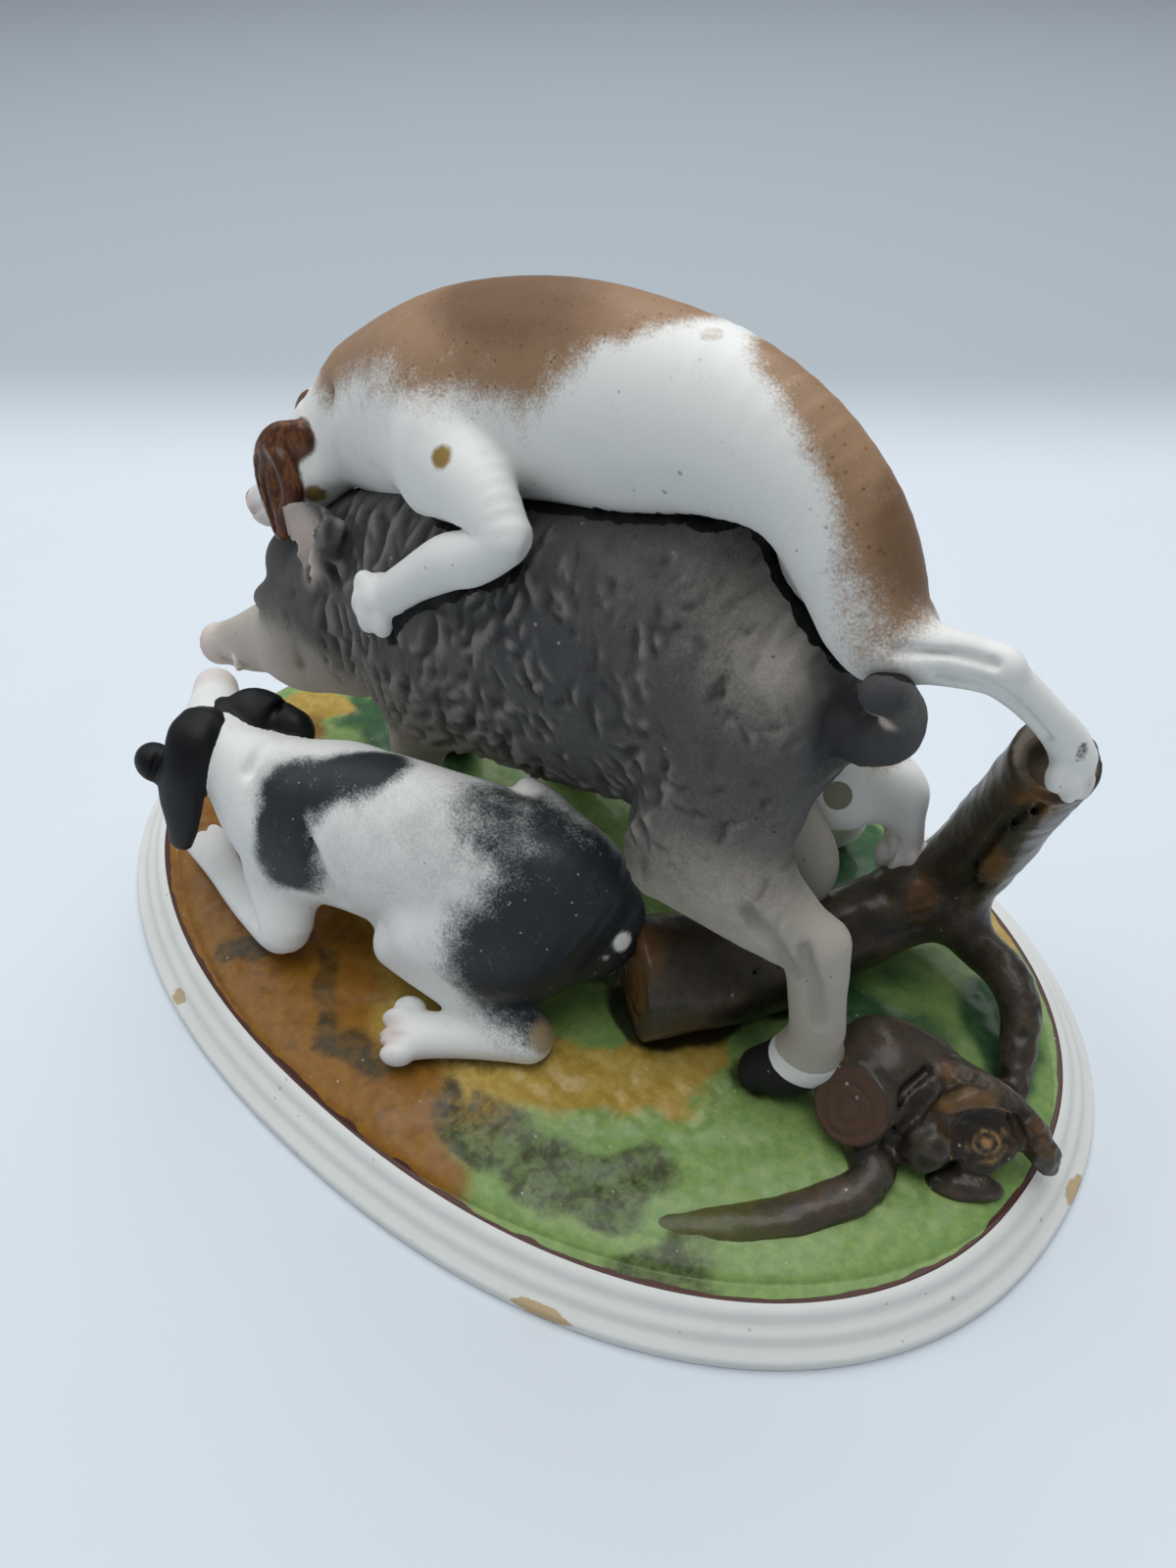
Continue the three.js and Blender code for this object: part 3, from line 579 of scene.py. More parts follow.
def far_hound_clay():
    c = Clay((-46, 12, 8), (66, 56, 66))
    c.limb([
        (46, 28, 45, 7, 8), (40, 29, 47, 10, 12), (26, 31, 49, 10, 12), (8, 32, 48, 10, 12),
        (-10, 32, 46, 11, 14), (-18, 31, 45, 8, 10),
    ], k=1, steps=4)
    c.limb([(-14, 30, 48, 7, 9), (-24, 28, 52, 6, 7), (-31, 25, 54, 6.5, 6.5), (-36, 22, 52.6, 4.6, 4.8),
            (-40, 20, 51.4, 3.6, 3.8)], k=4)
    # Thighs and shoulders
    c.muscle((38, 23.6, 53), (42, 22, 36), 5.4, 7.6, k=4)
    c.muscle((38, 36, 52), (33, 38, 36), 6, 7, k=5)
    c.muscle((-14, 38, 52), (-9, 39, 34), 5, 8, k=5)
    c.muscle((-16, 24, 52), (-10, 23, 34), 5, 8, k=5)
    # The hind leg that is braced on the log, and its toes
    c.limb([
        (42, 25, 45, 6, 8), (46, 25.2, 49, 4, 4.6), (50.2, 26.2, 49.4, 3.6, 3.7),
        (52.6, 27.6, 46.8, 3.4, 3.5), (52.8, 28.6, 41, 3.3, 3.3), (53, 29.4, 35, 3.6, 3.5),
    ], k=3)
    for dx, dy in ((-1.8, -3.0), (0.8, -3.4), (3.0, -2.0), (3.8, 0.6)):
        c.ball((52.6 + dx, 30 + dy, 31.6), (1.5, 1.7, 3.4), k=0.7)
    # The other hind leg, the forelegs and their toes
    c.limb([(38, 35, 46, 7, 8), (33, 39.6, 34, 4.4, 4.8), (36.4, 42, 24, 3.5, 3.7),
            (35.4, 42.8, 17.4, 3.4, 3.4), (32.6, 43.4, 13.6, 4, 3.4)], k=3)
    c.limb([(-10, 38, 42, 6, 8), (-5, 41, 28, 4, 4), (-10, 42, 19, 3.4, 3.4), (-18, 42, 14, 4, 3)], k=3)
    c.limb([(-12, 24, 42, 6, 8), (-8, 23, 28, 4, 4), (-16, 22, 19, 3.4, 3.4), (-25, 22, 14, 4, 3)], k=3)
    for dy in (-2.4, 0, 2.4):
        c.ball((-20.4, 42 + dy, 13.2), (2.6, 1.4, 2.2), k=0.7)
        c.ball((-27.4, 22 + dy, 13.2), (2.6, 1.4, 2.2), k=0.7)
        c.ball((30, 43.4 + dy, 13.2), (2.6, 1.4, 2.2), k=0.7)
    # Tail and nose
    c.limb([(44, 34, 49, 3, 3), (42, 43, 46, 2.4, 2.4), (36, 48, 38, 2, 2), (30, 49, 33, 1.6, 1.6)], k=1.5)
    c.ball((-41, 19.6, 52.2), (1.9, 2.1, 1.7), k=0.8)
    far_hound_ears(c)
    far_hound_relief(c)
    return c


def far_hound_ears(c):
    """Ears, hanging beside the head."""
    c.limb([(-27, 32, 58, 2, 3), (-29, 36, 54, 1.8, 4.4), (-29, 37, 47, 1.6, 3)], k=0.8)
    c.limb([(-26, 22.6, 59, 2, 3), (-27, 18.6, 56, 1.8, 4), (-28, 17.6, 50, 1.6, 2.6)], k=0.8)


def far_hound_relief(c):
    # Clefts between the toes of the braced foot, and the line of the mouth on both sides
    c.crease([(53.4, 25.8, 37.4), (53.2, 25.4, 33), (52.4, 25.6, 30)], 0.5, 0.5)
    c.crease([(55.6, 26.2, 37.4), (56, 25.8, 33), (55.6, 26, 30)], 0.5, 0.5)
    c.crease([(-34, 16.6, 51.6), (-38.4, 16.2, 50), (-41.4, 17.4, 49.6)], 0.45, 0.5)
    c.crease([(-34, 28, 51.4), (-38, 24.6, 50), (-41.4, 22, 49.6)], 0.45, 0.5)


# The fallen bole that turns up to a broken top, its root, and the stump beside it

UPRIGHT = (0, 0, 1)
# Middles of the flat cuts, the ways that they face, and the radii of two of them and of the rings
LOG_END = np.array((31.4, -19.4, 22.5))
LOG_END_WAY = (-0.58, -0.81, 0.05)
BROKEN_TOP = (76.4, 18.6, 72.8)
DISC = np.array((72.0, -14.6, 19.0))
DISC_WAY = unit((-0.1, -0.8, 0.6))
DISC_RADIUS = 6.6
KNOT = np.array((91.2, -4.4, 17.4))
KNOT_WAY = unit((0.5, -0.68, 0.54))
KNOT_RADIUS = 6.4
KNOT_RINGS = (1.3, 2.6, 3.9, 5.3)


def ring_on(middle, way, radius, wobble):
    """Points of a slightly uneven ring on a flat cut."""
    across = unit(np.cross((0, 0, 1), way))
    up = np.cross(way, across)
    points = []
    for t in np.linspace(0, 2 * math.pi, 30):
        out = math.cos(t) * across + math.sin(t) * up
        points.append(middle + (radius + wobble * math.sin(3 * t)) * out)
    return points


def tree_clay():
    c = Clay((22, -50, 6), (103, 44, 82))
    # The log, which bends up to the broken bole, its two cuts and the hollow in the broken one
    c.limb([
        (*LOG_END, 11, 11), (43, -3, 20.5, 9.5, 9.5), (48, 7, 20, 8.2, 8.2), (52.5, 18, 20.5, 7.6, 7.6),
        (57.5, 28, 23, 7.6, 7.6), (62.5, 33, 30, 7.6, 7.6), (66.5, 32, 41, 7.4, 7.4),
        (71, 26.5, 56, 6.8, 6.8), (76, 19, 72, 6.6, 6.6), (78, 16, 78.4, 6.8, 6.8),
    ], side=UPRIGHT, k=1, steps=4)
    c.slice_off(LOG_END, LOG_END_WAY, (18, -38, 6), (42, -8, 38), 0.8)
    c.slice_off(BROKEN_TOP, (0.28, -0.42, 0.86), (64, 6, 66), (92, 32, 84), 0.8)
    c.ball((76.6, 18.4, 72.6), (3.9, 3.9, 3.4), k=1.2, carve=True)
    # Flare at the bend, a knot of the bark, and the root
    c.muscle((56, 26, 27), (66, 36, 22), 6, 6, k=5)
    c.ball((57.4, 25.4, 28.8), (4.6, 3.4, 2.8), k=2.5)
    c.limb([
        (62, 32, 25, 5.2, 5.2), (71, 29.5, 20, 4, 4), (78, 26.6, 20.4, 3.7, 3.7), (83, 23.4, 17.6, 3.6, 3.6),
        (86.4, 18, 13.4, 3.3, 3.3), (88, 13.6, 10.6, 3.1, 3.1),
    ], side=UPRIGHT, k=4)
    # Body of the stump, the sawn stub and the ringed knot
    c.muscle((62.4, -0.4, 15), (83, -4, 15), 8.6, 10, k=3)
    c.ball((70.4, -3.4, 21), (5, 5, 3.6), k=4)
    c.limb([(76, -2, 14, 7, 7), (73.5, -9, 16.5, 6.6, 6.6), (71.6, -15, 20, 6.4, 6.2)], side=UPRIGHT, k=3)
    c.slice_off(DISC, DISC_WAY, (60, -26, 8), (82, -6, 32), 0.4)
    c.limb([(77, 1, 15, 8, 7), (84, -0.6, 15.4, 7.2, 6.8), (88, -2.4, 16, 6.4, 6.2)], side=UPRIGHT, k=3)
    c.limb([(85, 0, 14.6, 5.6, 5.6), (93, -5.6, 19, 5.8, 5.6)], side=UPRIGHT, k=1.5)
    c.slice_off(KNOT, KNOT_WAY, (82, -16, 8), (103, 6, 30), 0.4)
    # Brow above the ringed knot, knob, side bulge, pointed flap and lower lobe
    c.limb([(83.2, -7.2, 19.6, 1.5, 1.5), (84.4, -4.4, 21.8, 1.9, 1.9), (86.6, -1.8, 22.4, 1.9, 1.9),
            (89.4, -1.0, 21.4, 1.5, 1.5)], k=0.9)
    c.ball((80.8, -0.8, 21.8), (2.2, 2.2, 1.8), k=1.2)
    c.muscle((84.6, -7, 19.4), (83, -11.6, 11.2), 4, 4, k=1.2)
    c.limb([(82, 0.4, 19.4, 4.8, 4), (89, 1.8, 18.8, 4.2, 3.2), (94.6, 2.2, 16.6, 3.6, 2.8),
            (98.2, 2.6, 13.8, 3, 2.6), (99.4, 2.8, 12, 2, 2)], side=UPRIGHT, k=1.2)
    c.muscle((85.6, -11, 9.2), (96.4, -5, 9.8), 2.7, 2.6, k=1.6)
    # The low ridge that curls away from the stump
    c.limb([
        (75, -13, 12, 3.8, 3), (79.6, -18, 11.2, 3.6, 3), (76, -27, 10, 3.5, 2.6), (68, -37, 9, 3.2, 2.1),
        (57, -46, 7.8, 2.6, 1.4),
    ], side=(1, 0, 0), k=3)
    c.cut_below(6.2)
    tree_relief(c)
    return c


def tree_relief(c):
    # Rings on the cut ends
    end = np.array((31.3, -19.6, 22.6))
    across = unit((0.81, -0.58, 0))
    for r in (3.2, 6.4):
        turn = []
        for t in np.linspace(0.4, 6.0, 22):
            rise = 0.95 * math.sin(t) + 0.06 * math.sin(3 * t)
            turn.append(end + r * (math.cos(t) * across + rise * np.array(UPRIGHT)))
        c.crease(turn, 0.5, 0.5, steps=1)
    for r in KNOT_RINGS:
        c.crease(ring_on(KNOT, KNOT_WAY, r, 0.12), 0.4 + 0.08 * r, 0.45, steps=1)
    for r in (2.0, 4.2):
        c.crease(ring_on(DISC, DISC_WAY, r, 0.3), 0.3, 0.5, steps=1)
    # Furrows along the bark
    for side in (-1, 0, 1, 2.2):
        run = [(45 + 2.5 * side, -9 + side, 27 - 0.5 * side), (51 + 1.8 * side, 4, 26.4 - 0.5 * side),
               (57 + side, 17, 27 - side), (63 + side, 24, 31 - 2 * side), (68.5 + side, 25.4 + side, 42),
               (72.6 + 1.2 * side, 20.4 + side, 56), (76 + 1.2 * side, 13.4 + side, 68)]
        c.crease(run, 0.42, 1.0)
    # The crescent of the bark's knot, and folds of the stump
    c.crease([(56.6, 22.4, 31.4), (58.6, 22.6, 32.4), (61, 23, 33.6), (62.6, 24, 35.6)], 0.7, 0.5)
    c.crease([(78.6, -3, 23), (77.4, -9, 21), (79, -13.6, 15)], 0.7, 1.0)
    c.crease([(92, 0.4, 20.4), (95.6, -0.4, 17), (97, -1.6, 13)], 0.6, 0.6)


# Base and ground

def oval(angle, inset):
    """Points of the base's squared oval, drawn in by inset."""
    c, s = np.cos(angle), np.sin(angle)
    power = 2 / SQUARENESS
    x = (HALF_LENGTH - inset) * np.sign(c) * np.abs(c) ** power
    y = (HALF_WIDTH - inset) * np.sign(s) * np.abs(s) ** power
    return x, y


def ground_height(x, y):
    """Height of the modelled ground, before its brushwork relief."""
    u = x / GROUND_HALF_LENGTH
    v = y / GROUND_HALF_WIDTH
    edge = np.maximum(0, 1 - (u * u + v * v))
    roll = 0.8 * np.sin(x / 17 + 1) * np.cos(y / 14)
    return RIM_HEIGHT + MOUND_HEIGHT * np.sqrt(edge) + roll * edge


def near_line(p, points):
    """Distance from each point p to a run of straight pieces."""
    best = np.full(len(p), 1e3)
    for a, b in zip(points[:-1], points[1:]):
        a, b = np.array(a, float), np.array(b, float)
        d = b - a
        t = np.clip((p - a) @ d / (d @ d + 1e-9), 0, 1)
        best = np.minimum(best, np.linalg.norm(p - a - t[:, None] * d, axis=1))
    return best


def patch(p, centre, radii, soft):
    """1 inside an ellipsoid, fading to 0 over a share soft of its radius either side of the edge."""
    d = np.linalg.norm((p - np.array(centre, float)) / np.array(radii, float), axis=1)
    return 1 - smoothstep(1 - soft, 1 + soft, d)


def any_of(*masks):
    """High where any of the masks is high, and smooth where they overlap."""
    out = masks[0]
    for m in masks[1:]:
        out = 1 - (1 - out) * (1 - m)
    return out


def mesh_piece(name, verts, faces, masks, normals=None):
    """A smooth mesh object from vertices in millimetres, with its masks stored on them.
    faces is a list, or an array of triangles and one of quads."""
    mesh = bpy.data.meshes.new(name)
    if isinstance(faces, list):
        mesh.from_pydata((verts * MM).tolist(), [], faces)
    else:
        tris, quads = faces
        loops = np.concatenate([tris.ravel(), quads.ravel()]).astype(np.int32)
        sizes = np.concatenate([np.full(len(tris), 3), np.full(len(quads), 4)]).astype(np.int32)
        starts = np.concatenate([[0], np.cumsum(sizes)[:-1]]).astype(np.int32)
        mesh.vertices.add(len(verts))
        mesh.vertices.foreach_set("co", (verts * MM).astype(np.float32).ravel())
        mesh.loops.add(len(loops))
        mesh.loops.foreach_set("vertex_index", loops)
        mesh.polygons.add(len(sizes))
        mesh.polygons.foreach_set("loop_start", starts)
        mesh.update(calc_edges=True)
    mesh.validate()
    for key, values in masks.items():
        layer = mesh.attributes.new(key, "FLOAT", "POINT")
        layer.data.foreach_set("value", np.clip(values, 0, 1).astype(np.float32))
    mesh.polygons.foreach_set("use_smooth", [True] * len(mesh.polygons))
    if normals is not None:
        mesh.normals_split_custom_set_from_vertices(normals)
    mesh.update()
    obj = bpy.data.objects.new(name, mesh)
    bpy.context.scene.collection.objects.link(obj)
    return obj


def gradient(clay, p):
    """Outward direction of the clay's surface at points p."""
    g = np.zeros_like(p)
    for i, e in enumerate(0.8 * clay.step * np.eye(3)):
        g[:, i] = sample(clay, p + e) - sample(clay, p - e)
    return g / (np.linalg.norm(g, axis=1, keepdims=True) + 1e-9)


# Node materials

class Paint:
    """A Principled material whose colour is built up in layers. Colours are sRGB, 0 to 255."""

    def __init__(self, name, colour, rough, coat=0.0):
        self.mat = bpy.data.materials.new(name)
        self.mat.use_nodes = True
        self.shader = self.mat.node_tree.nodes["Principled BSDF"]
        looks = {
            "Roughness": rough, "Specular IOR Level": 0.25, "Coat Weight": coat, "Coat Roughness": 0.16,
        }
        for key, value in looks.items():
            self.put(value, self.shader.inputs[key])
        place = self.node("TexCoord", {}, "Object")
        self.mm = self.node("VectorMath", {0: place, "Scale": 1 / MM}, operation="SCALE")
        self.colour = self.rgb(colour)

    def put(self, value, socket):
        """Sets a socket to a value or links another socket to it."""
        if isinstance(value, bpy.types.NodeSocket):
            self.mat.node_tree.links.new(value, socket)
        else:
            socket.default_value = value

    def node(self, kind, inputs, output=0, **settings):
        """A new node with its settings and inputs. Returns one of its outputs."""
        node = self.mat.node_tree.nodes.new("ShaderNode" + kind)
        for key, value in settings.items():
            setattr(node, key, value)
        for key, value in inputs.items():
            self.put(value, node.inputs[key])
        return node.outputs[output]

    def rgb(self, colour):
        output = self.node("RGB", {})
        output.default_value = (*linear(colour), 1)
        return output

    def math(self, operation, a, b):
        return self.node("Math", {0: a, 1: b}, operation=operation)

    def times(self, a, b):
        """a times b."""
        return self.math("MULTIPLY", a, b)

    def shifted(self, base, value, amount):
        """base plus amount times value."""
        return self.math("ADD", base, self.times(value, amount))

    def noise(self, size, detail=3.0, roughness=0.6, stretch=None):
        """Noise with features about size millimetres across, from 0 to 1."""
        where = self.mm
        if stretch:
            where = self.node("VectorMath", {0: self.mm, 1: stretch}, operation="MULTIPLY")
        inputs = {"Vector": where, "Scale": 1 / size, "Detail": detail, "Roughness": roughness}
        return self.node("TexNoise", inputs, "Fac")

    def cloud(self, size, detail, roughness, low, high):
        """Noise that is cut to soft patches: 0 below low, 1 above high."""
        return self.step(self.noise(size, detail, roughness), low, high)

    def spots(self, size, radius, seed):
        """Small round spots: 1 inside, on a lattice of cells size millimetres across."""
        shift = (seed, seed * 1.7, seed * 0.6)
        where = self.node("VectorMath", {0: self.mm, 1: shift}, operation="ADD")
        distance = self.node("TexVoronoi", {"Vector": where, "Scale": 1 / size}, "Distance")
        return self.step(distance, radius * 1.3, radius * 0.5)

    def along(self, way):
        """Position in millimetres along a direction."""
        return self.node("VectorMath", {0: self.mm, 1: way}, "Value", operation="DOT_PRODUCT")

    def mask(self, name):
        """A mask that is stored on the mesh."""
        return self.node("Attribute", {}, "Fac", attribute_name=name)

    def step(self, value, low, high):
        """0 at low, 1 at high, smoothly, in either order."""
        inputs = {
            "Value": value, "From Min": min(low, high), "From Max": max(low, high),
            "To Min": float(low > high), "To Max": float(low <= high),
        }
        return self.node("MapRange", inputs, "Result", interpolation_type="SMOOTHSTEP")

    def grainy(self, mask, grain, soft, size):
        """A sprayed edge: the mask is cut by fine noise so that it breaks up where it fades."""
        fine = self.math("SUBTRACT", self.noise(size, 2.0, 0.7), 0.5)
        broad = self.math("SUBTRACT", self.noise(size * 9, 2.0), 0.5)
        both = self.math("ADD", self.times(fine, grain), self.times(broad, grain * 0.8))
        return self.step(self.math("ADD", mask, both), 0.5 - soft, 0.5 + soft)

    def layer(self, fac, colour, amount=1.0):
        """Lays a colour over the others by fac times amount."""
        if amount != 1.0:
            fac = self.times(fac, amount)
        inputs = {"Factor": fac, "A": self.colour, "B": self.rgb(colour)}
        self.colour = self.node("Mix", inputs, "Result", data_type="RGBA")

    def wash(self, name, colour, amount=1.0):
        """A colour under a stored mask, with the mask's own edge."""
        self.layer(self.mask(name), colour, amount)

    def spray(self, name, colour, grain, soft, size=0.5, amount=1.0):
        """A colour under a stored mask, with a sprayed edge."""
        self.layer(self.grainy(self.mask(name), grain, soft, size), colour, amount)

    def freckles(self, size, radius, seed, colour, amount):
        """A colour in small round spots."""
        self.layer(self.spots(size, radius, seed), colour, amount)

    def bump(self, fine, broad, height):
        """Relief from two pairs of a noise and its weight, height millimetres high at weight 1."""
        total = self.math("ADD", self.times(*fine), self.times(*broad))
        inputs = {"Strength": 1.0, "Distance": height * MM, "Height": total}
        self.put(self.node("Bump", inputs, "Normal"), self.shader.inputs["Normal"])

    def finish(self, rough=None):
        """The finished material. rough takes the place of the plain roughness."""
        self.put(self.colour, self.shader.inputs["Base Color"])
        if rough is not None:
            self.put(rough, self.shader.inputs["Roughness"])
        return self.mat


def linear(colour):
    """Linear values of an sRGB colour given as 0 to 255."""
    c = np.array(colour, float) / 255
    return tuple(np.where(c <= 0.04045, c / 12.92, ((c + 0.055) / 1.055) ** 2.4))


# Painted finishes

BISQUE_WHITE = (238, 238, 234)
# Black of the painted line along the boar's back
LINE_BLACK = (18, 17, 16)


def specks(p, amount):
    """Tiny kiln specks and a faint unevenness of the bare bisque."""
    p.freckles(4.3, 0.055, 3.0, (120, 116, 110), amount)
    p.freckles(9.7, 0.045, 11.0, (96, 92, 88), amount)
    p.layer(p.cloud(14.0, 3.0, 0.6, 0.35, 0.75), (196, 200, 200), 0.1)


def bisque_bump(p, strength):
    p.bump((p.noise(0.35, 3.0, 0.6), strength), (p.noise(3.5, 2.0, 0.5), strength * 3), 1.0)


def boar_paint():
    p = Paint("boar_bisque", (84, 83, 80), 0.62)
    p.layer(p.cloud(0.55, 3.0, 0.75, 0.38, 0.7), (118, 115, 109), 0.32)
    p.layer(p.cloud(9.0, 3.0, 0.6, 0.42, 0.62), (66, 66, 66), 0.35)
    p.spray("light", (184, 176, 164), 0.4, 0.5)
    # Darker paint, and painted shadow under the top hound's jaw
    p.spray("dark", (52, 54, 59), 0.4, 0.5, amount=0.85)
    # Painted highlight on the raised locks
    p.wash("ridge", (146, 142, 134), 0.6)
    # Painted shade in the grooves of the locks and in the creases
    p.wash("hollow", (40, 40, 41), 0.62)
    p.spray("pink", (222, 206, 196), 0.2, 0.5)
    p.spray("white", (232, 232, 228), 0.25, 0.08, 0.8)
    p.spray("hoof", (30, 30, 30), 0.2, 0.06, 0.8)
    p.spray("line", LINE_BLACK, 0.6, 0.08, 0.9)
    p.wash("tusk", (240, 236, 226))
    p.freckles(3.6, 0.07, 5.0, (34, 33, 32), 0.7)
    p.freckles(6.1, 0.05, 8.0, (172, 168, 160), 0.6)
    p.bump((p.noise(0.4, 3.0, 0.6), 0.03), (p.noise(1.7, 4.0, 0.7), 0.2), 1.2)
    return p.finish(p.shifted(0.55, p.noise(1.2), 0.14))


def top_hound_paint():
    p = Paint("hound_on_back_bisque", BISQUE_WHITE, 0.42)
    specks(p, 0.6)
    p.spray("tan", (146, 106, 64), 0.9, 0.42, 0.42, 0.92)
    p.spray("deep", (98, 70, 46), 0.5, 0.45, 0.5, 0.7)
    p.layer(p.times(p.spots(1.7, 0.16, 2.0), p.mask("tan")), (112, 70, 44), 0.75)
    p.spray("spot", (150, 122, 66), 0.25, 0.2, 0.8)
    p.wash("ear", (78, 46, 30))
    streak = p.step(p.noise(1.6, 3.0, 0.6, (1.0, 1.0, 0.35)), 0.45, 0.6)
    p.layer(p.times(streak, p.mask("ear")), (128, 80, 50), 0.7)
    # Painted shade in the folds of the ears
    p.wash("hollow", (52, 34, 25), 0.6)
    p.spray("line", LINE_BLACK, 0.7, 0.07, 0.9)
    p.spray("pink", (214, 190, 178), 0.2, 0.5)
    p.spray("black", (44, 41, 39), 0.5, 0.16, 0.6)
    bisque_bump(p, 0.012)
    return p.finish(p.shifted(0.46, p.mask("ear"), -0.2))


def left_hound_paint():
    p = Paint("hound_crouching_bisque", BISQUE_WHITE, 0.42)
    specks(p, 0.6)
    p.spray("haze", (120, 122, 122), 0.9, 0.5, 0.5, 0.5)
    p.spray("black", (46, 50, 54), 0.85, 0.42, 0.42)
    p.spray("deep", (30, 33, 40), 0.4, 0.5, 0.6, 0.8)
    p.spray("ear", (13, 15, 18), 0.16, 0.05, 0.8)
    p.spray("pink", (216, 194, 184), 0.2, 0.5)
    p.spray("stain", (158, 134, 96), 0.5, 0.4, 0.8, 0.8)
    p.wash("chip", (236, 234, 226))
    p.layer(p.times(p.spots(2.6, 0.07, 4.0), p.mask("black")), (186, 188, 186), 0.7)
    bisque_bump(p, 0.014)
    return p.finish(p.shifted(0.42, p.mask("ear"), 0.1))


def far_hound_paint():
    p = Paint("hound_far_bisque", BISQUE_WHITE, 0.42)
    specks(p, 0.6)
    p.spray("tan", (166, 140, 104), 0.8, 0.4, 0.42, 0.9)
    # Painted greenish reflection on the near side of the braced thigh
    p.spray("spot", (136, 132, 110), 0.2, 0.12, 0.8)
    p.wash("ear", (98, 66, 44))
    p.spray("pink", (216, 196, 188), 0.2, 0.5)
    p.spray("black", (40, 36, 33), 0.3, 0.1, 0.6)
    bisque_bump(p, 0.012)
    return p.finish()


def tree_paint():
    p = Paint("tree_glaze", (66, 59, 51), 0.38, 0.16)
    p.layer(p.cloud(5.0, 4.0, 0.65, 0.42, 0.66), (88, 74, 56), 0.6)
    p.layer(p.cloud(1.6, 4.0, 0.75, 0.5, 0.72), (34, 28, 23), 0.5)
    p.spray("amber", (134, 92, 44), 0.9, 0.5, 2.2, 0.7)
    p.spray("cut", (86, 62, 48), 0.25, 0.1, 1.0, 0.9)
    # Painted highlight on the raised grain, and ochre on the knot's face between its rings
    p.wash("ridge", (170, 130, 80), 0.9)
    # Painted shade in grooves and folds, and the dark rings of the knot
    p.wash("hollow", (22, 17, 14), 0.7)
    # Painted shade, near black, low on the log under the boar
    p.spray("black", (17, 15, 14), 0.5, 0.35, 1.5, 0.9)
    p.spray("green", (96, 100, 44), 0.6, 0.5, 1.6, 0.7)
    p.freckles(5.0, 0.06, 6.0, (176, 176, 170), 0.6)
    p.bump((p.noise(0.9, 3.0, 0.6), 0.04), (p.noise(2.4, 4.0, 0.7), 0.2), 1.2)
    return p.finish(p.shifted(0.26, p.noise(2.4), 0.2))


def ground_paint():
    p = Paint("ground_glaze", (118, 150, 84), 0.34, 0.14)
    mottle = p.cloud(2.2, 4.0, 0.7, 0.36, 0.66)
    p.layer(mottle, (152, 174, 102), 0.6)
    p.spray("emerald", (48, 84, 52), 0.35, 0.4, 2.0)
    p.layer(p.times(mottle, p.mask("emerald")), (80, 124, 66), 0.35)
    p.spray("ochre", (170, 140, 60), 0.55, 0.3, 1.4)
    p.layer(p.times(mottle, p.mask("ochre")), (202, 176, 98), 0.6)
    p.spray("orange", (134, 88, 26), 0.3, 0.35, 1.6)
    p.layer(p.times(mottle, p.mask("orange")), (160, 116, 38), 0.45)
    brown = p.cloud(4.2, 4.0, 0.7, 0.52, 0.7)
    p.layer(p.times(brown, p.mask("orange")), (98, 66, 34), 0.6)
    # Dark brush strokes, which also carry the painted shadow close under the animals
    stroke = p.shifted(0.6, p.cloud(3.4, 4.0, 0.7, 0.4, 0.6), 0.4)
    p.layer(p.times(p.grainy(p.mask("dark"), 0.7, 0.45, 1.6), stroke), (50, 48, 26), 0.95)
    # Painted shadow of the log, near black
    p.spray("black", (24, 22, 18), 0.4, 0.35, 1.2, 0.92)
    p.spray("edge", (78, 44, 36), 0.35, 0.12, 0.9)
    p.freckles(4.4, 0.05, 7.0, (206, 206, 196), 0.6)
    p.bump((p.noise(1.1, 3.0, 0.6), 0.02), (p.noise(4.5, 3.0), 0.08), 1.0)
    return p.finish(p.shifted(0.28, p.noise(3.0), 0.16))


def rim_paint():
    p = Paint("rim_bisque", (230, 231, 227), 0.5)
    specks(p, 0.5)
    p.layer(p.cloud(6.0, 4.0, 0.7, 0.5, 0.8), (206, 206, 200), 0.2)
    p.spray("chip", (196, 172, 134), 0.5, 0.12, 0.9)
    # Painted shade along the two steps of the rim
    p.wash("hollow", (150, 148, 140), 0.35)
    bisque_bump(p, 0.02)
    return p.finish()


# Surface strokes: grooves with a soft ridge beside them, laid out in a side view

def stroke_depth(q, facing, strokes):
    """Relief at the points that face the view. q: points as two coordinates of the side view;
    strokes: middle x and z, angle, length, width, bend and depth of each."""
    total = np.zeros(len(q), np.float32)
    for cx, cz, angle, length, width, bend, depth in strokes:
        reach = length * 0.75 + 2 * width
        near = np.nonzero((np.abs(q[:, 0] - cx) < reach) & (np.abs(q[:, 1] - cz) < reach) & facing)[0]
        if len(near) == 0:
            continue
        x, z = q[near, 0] - cx, q[near, 1] - cz
        s = x * math.cos(angle) + z * math.sin(angle)
        t = -x * math.sin(angle) + z * math.cos(angle)
        t = t - bend * (s * s - length * length / 12) - 0.5 * width * np.sin(s * 7.0 / length + cx)
        ends = np.clip(1 - np.abs(s) / (length / 2), 0, 1)
        ends = ends * ends * (3 - 2 * ends)
        thin = width * (0.55 + 0.45 * ends)
        groove = -np.exp(-(t / thin) ** 2)
        ridge = 0.7 * np.exp(-((t - 1.5 * thin) / thin) ** 2) + 0.25 * np.exp(-((t + 1.6 * thin) / thin) ** 2)
        total[near] += depth * ends * (groove + ridge)
    return total


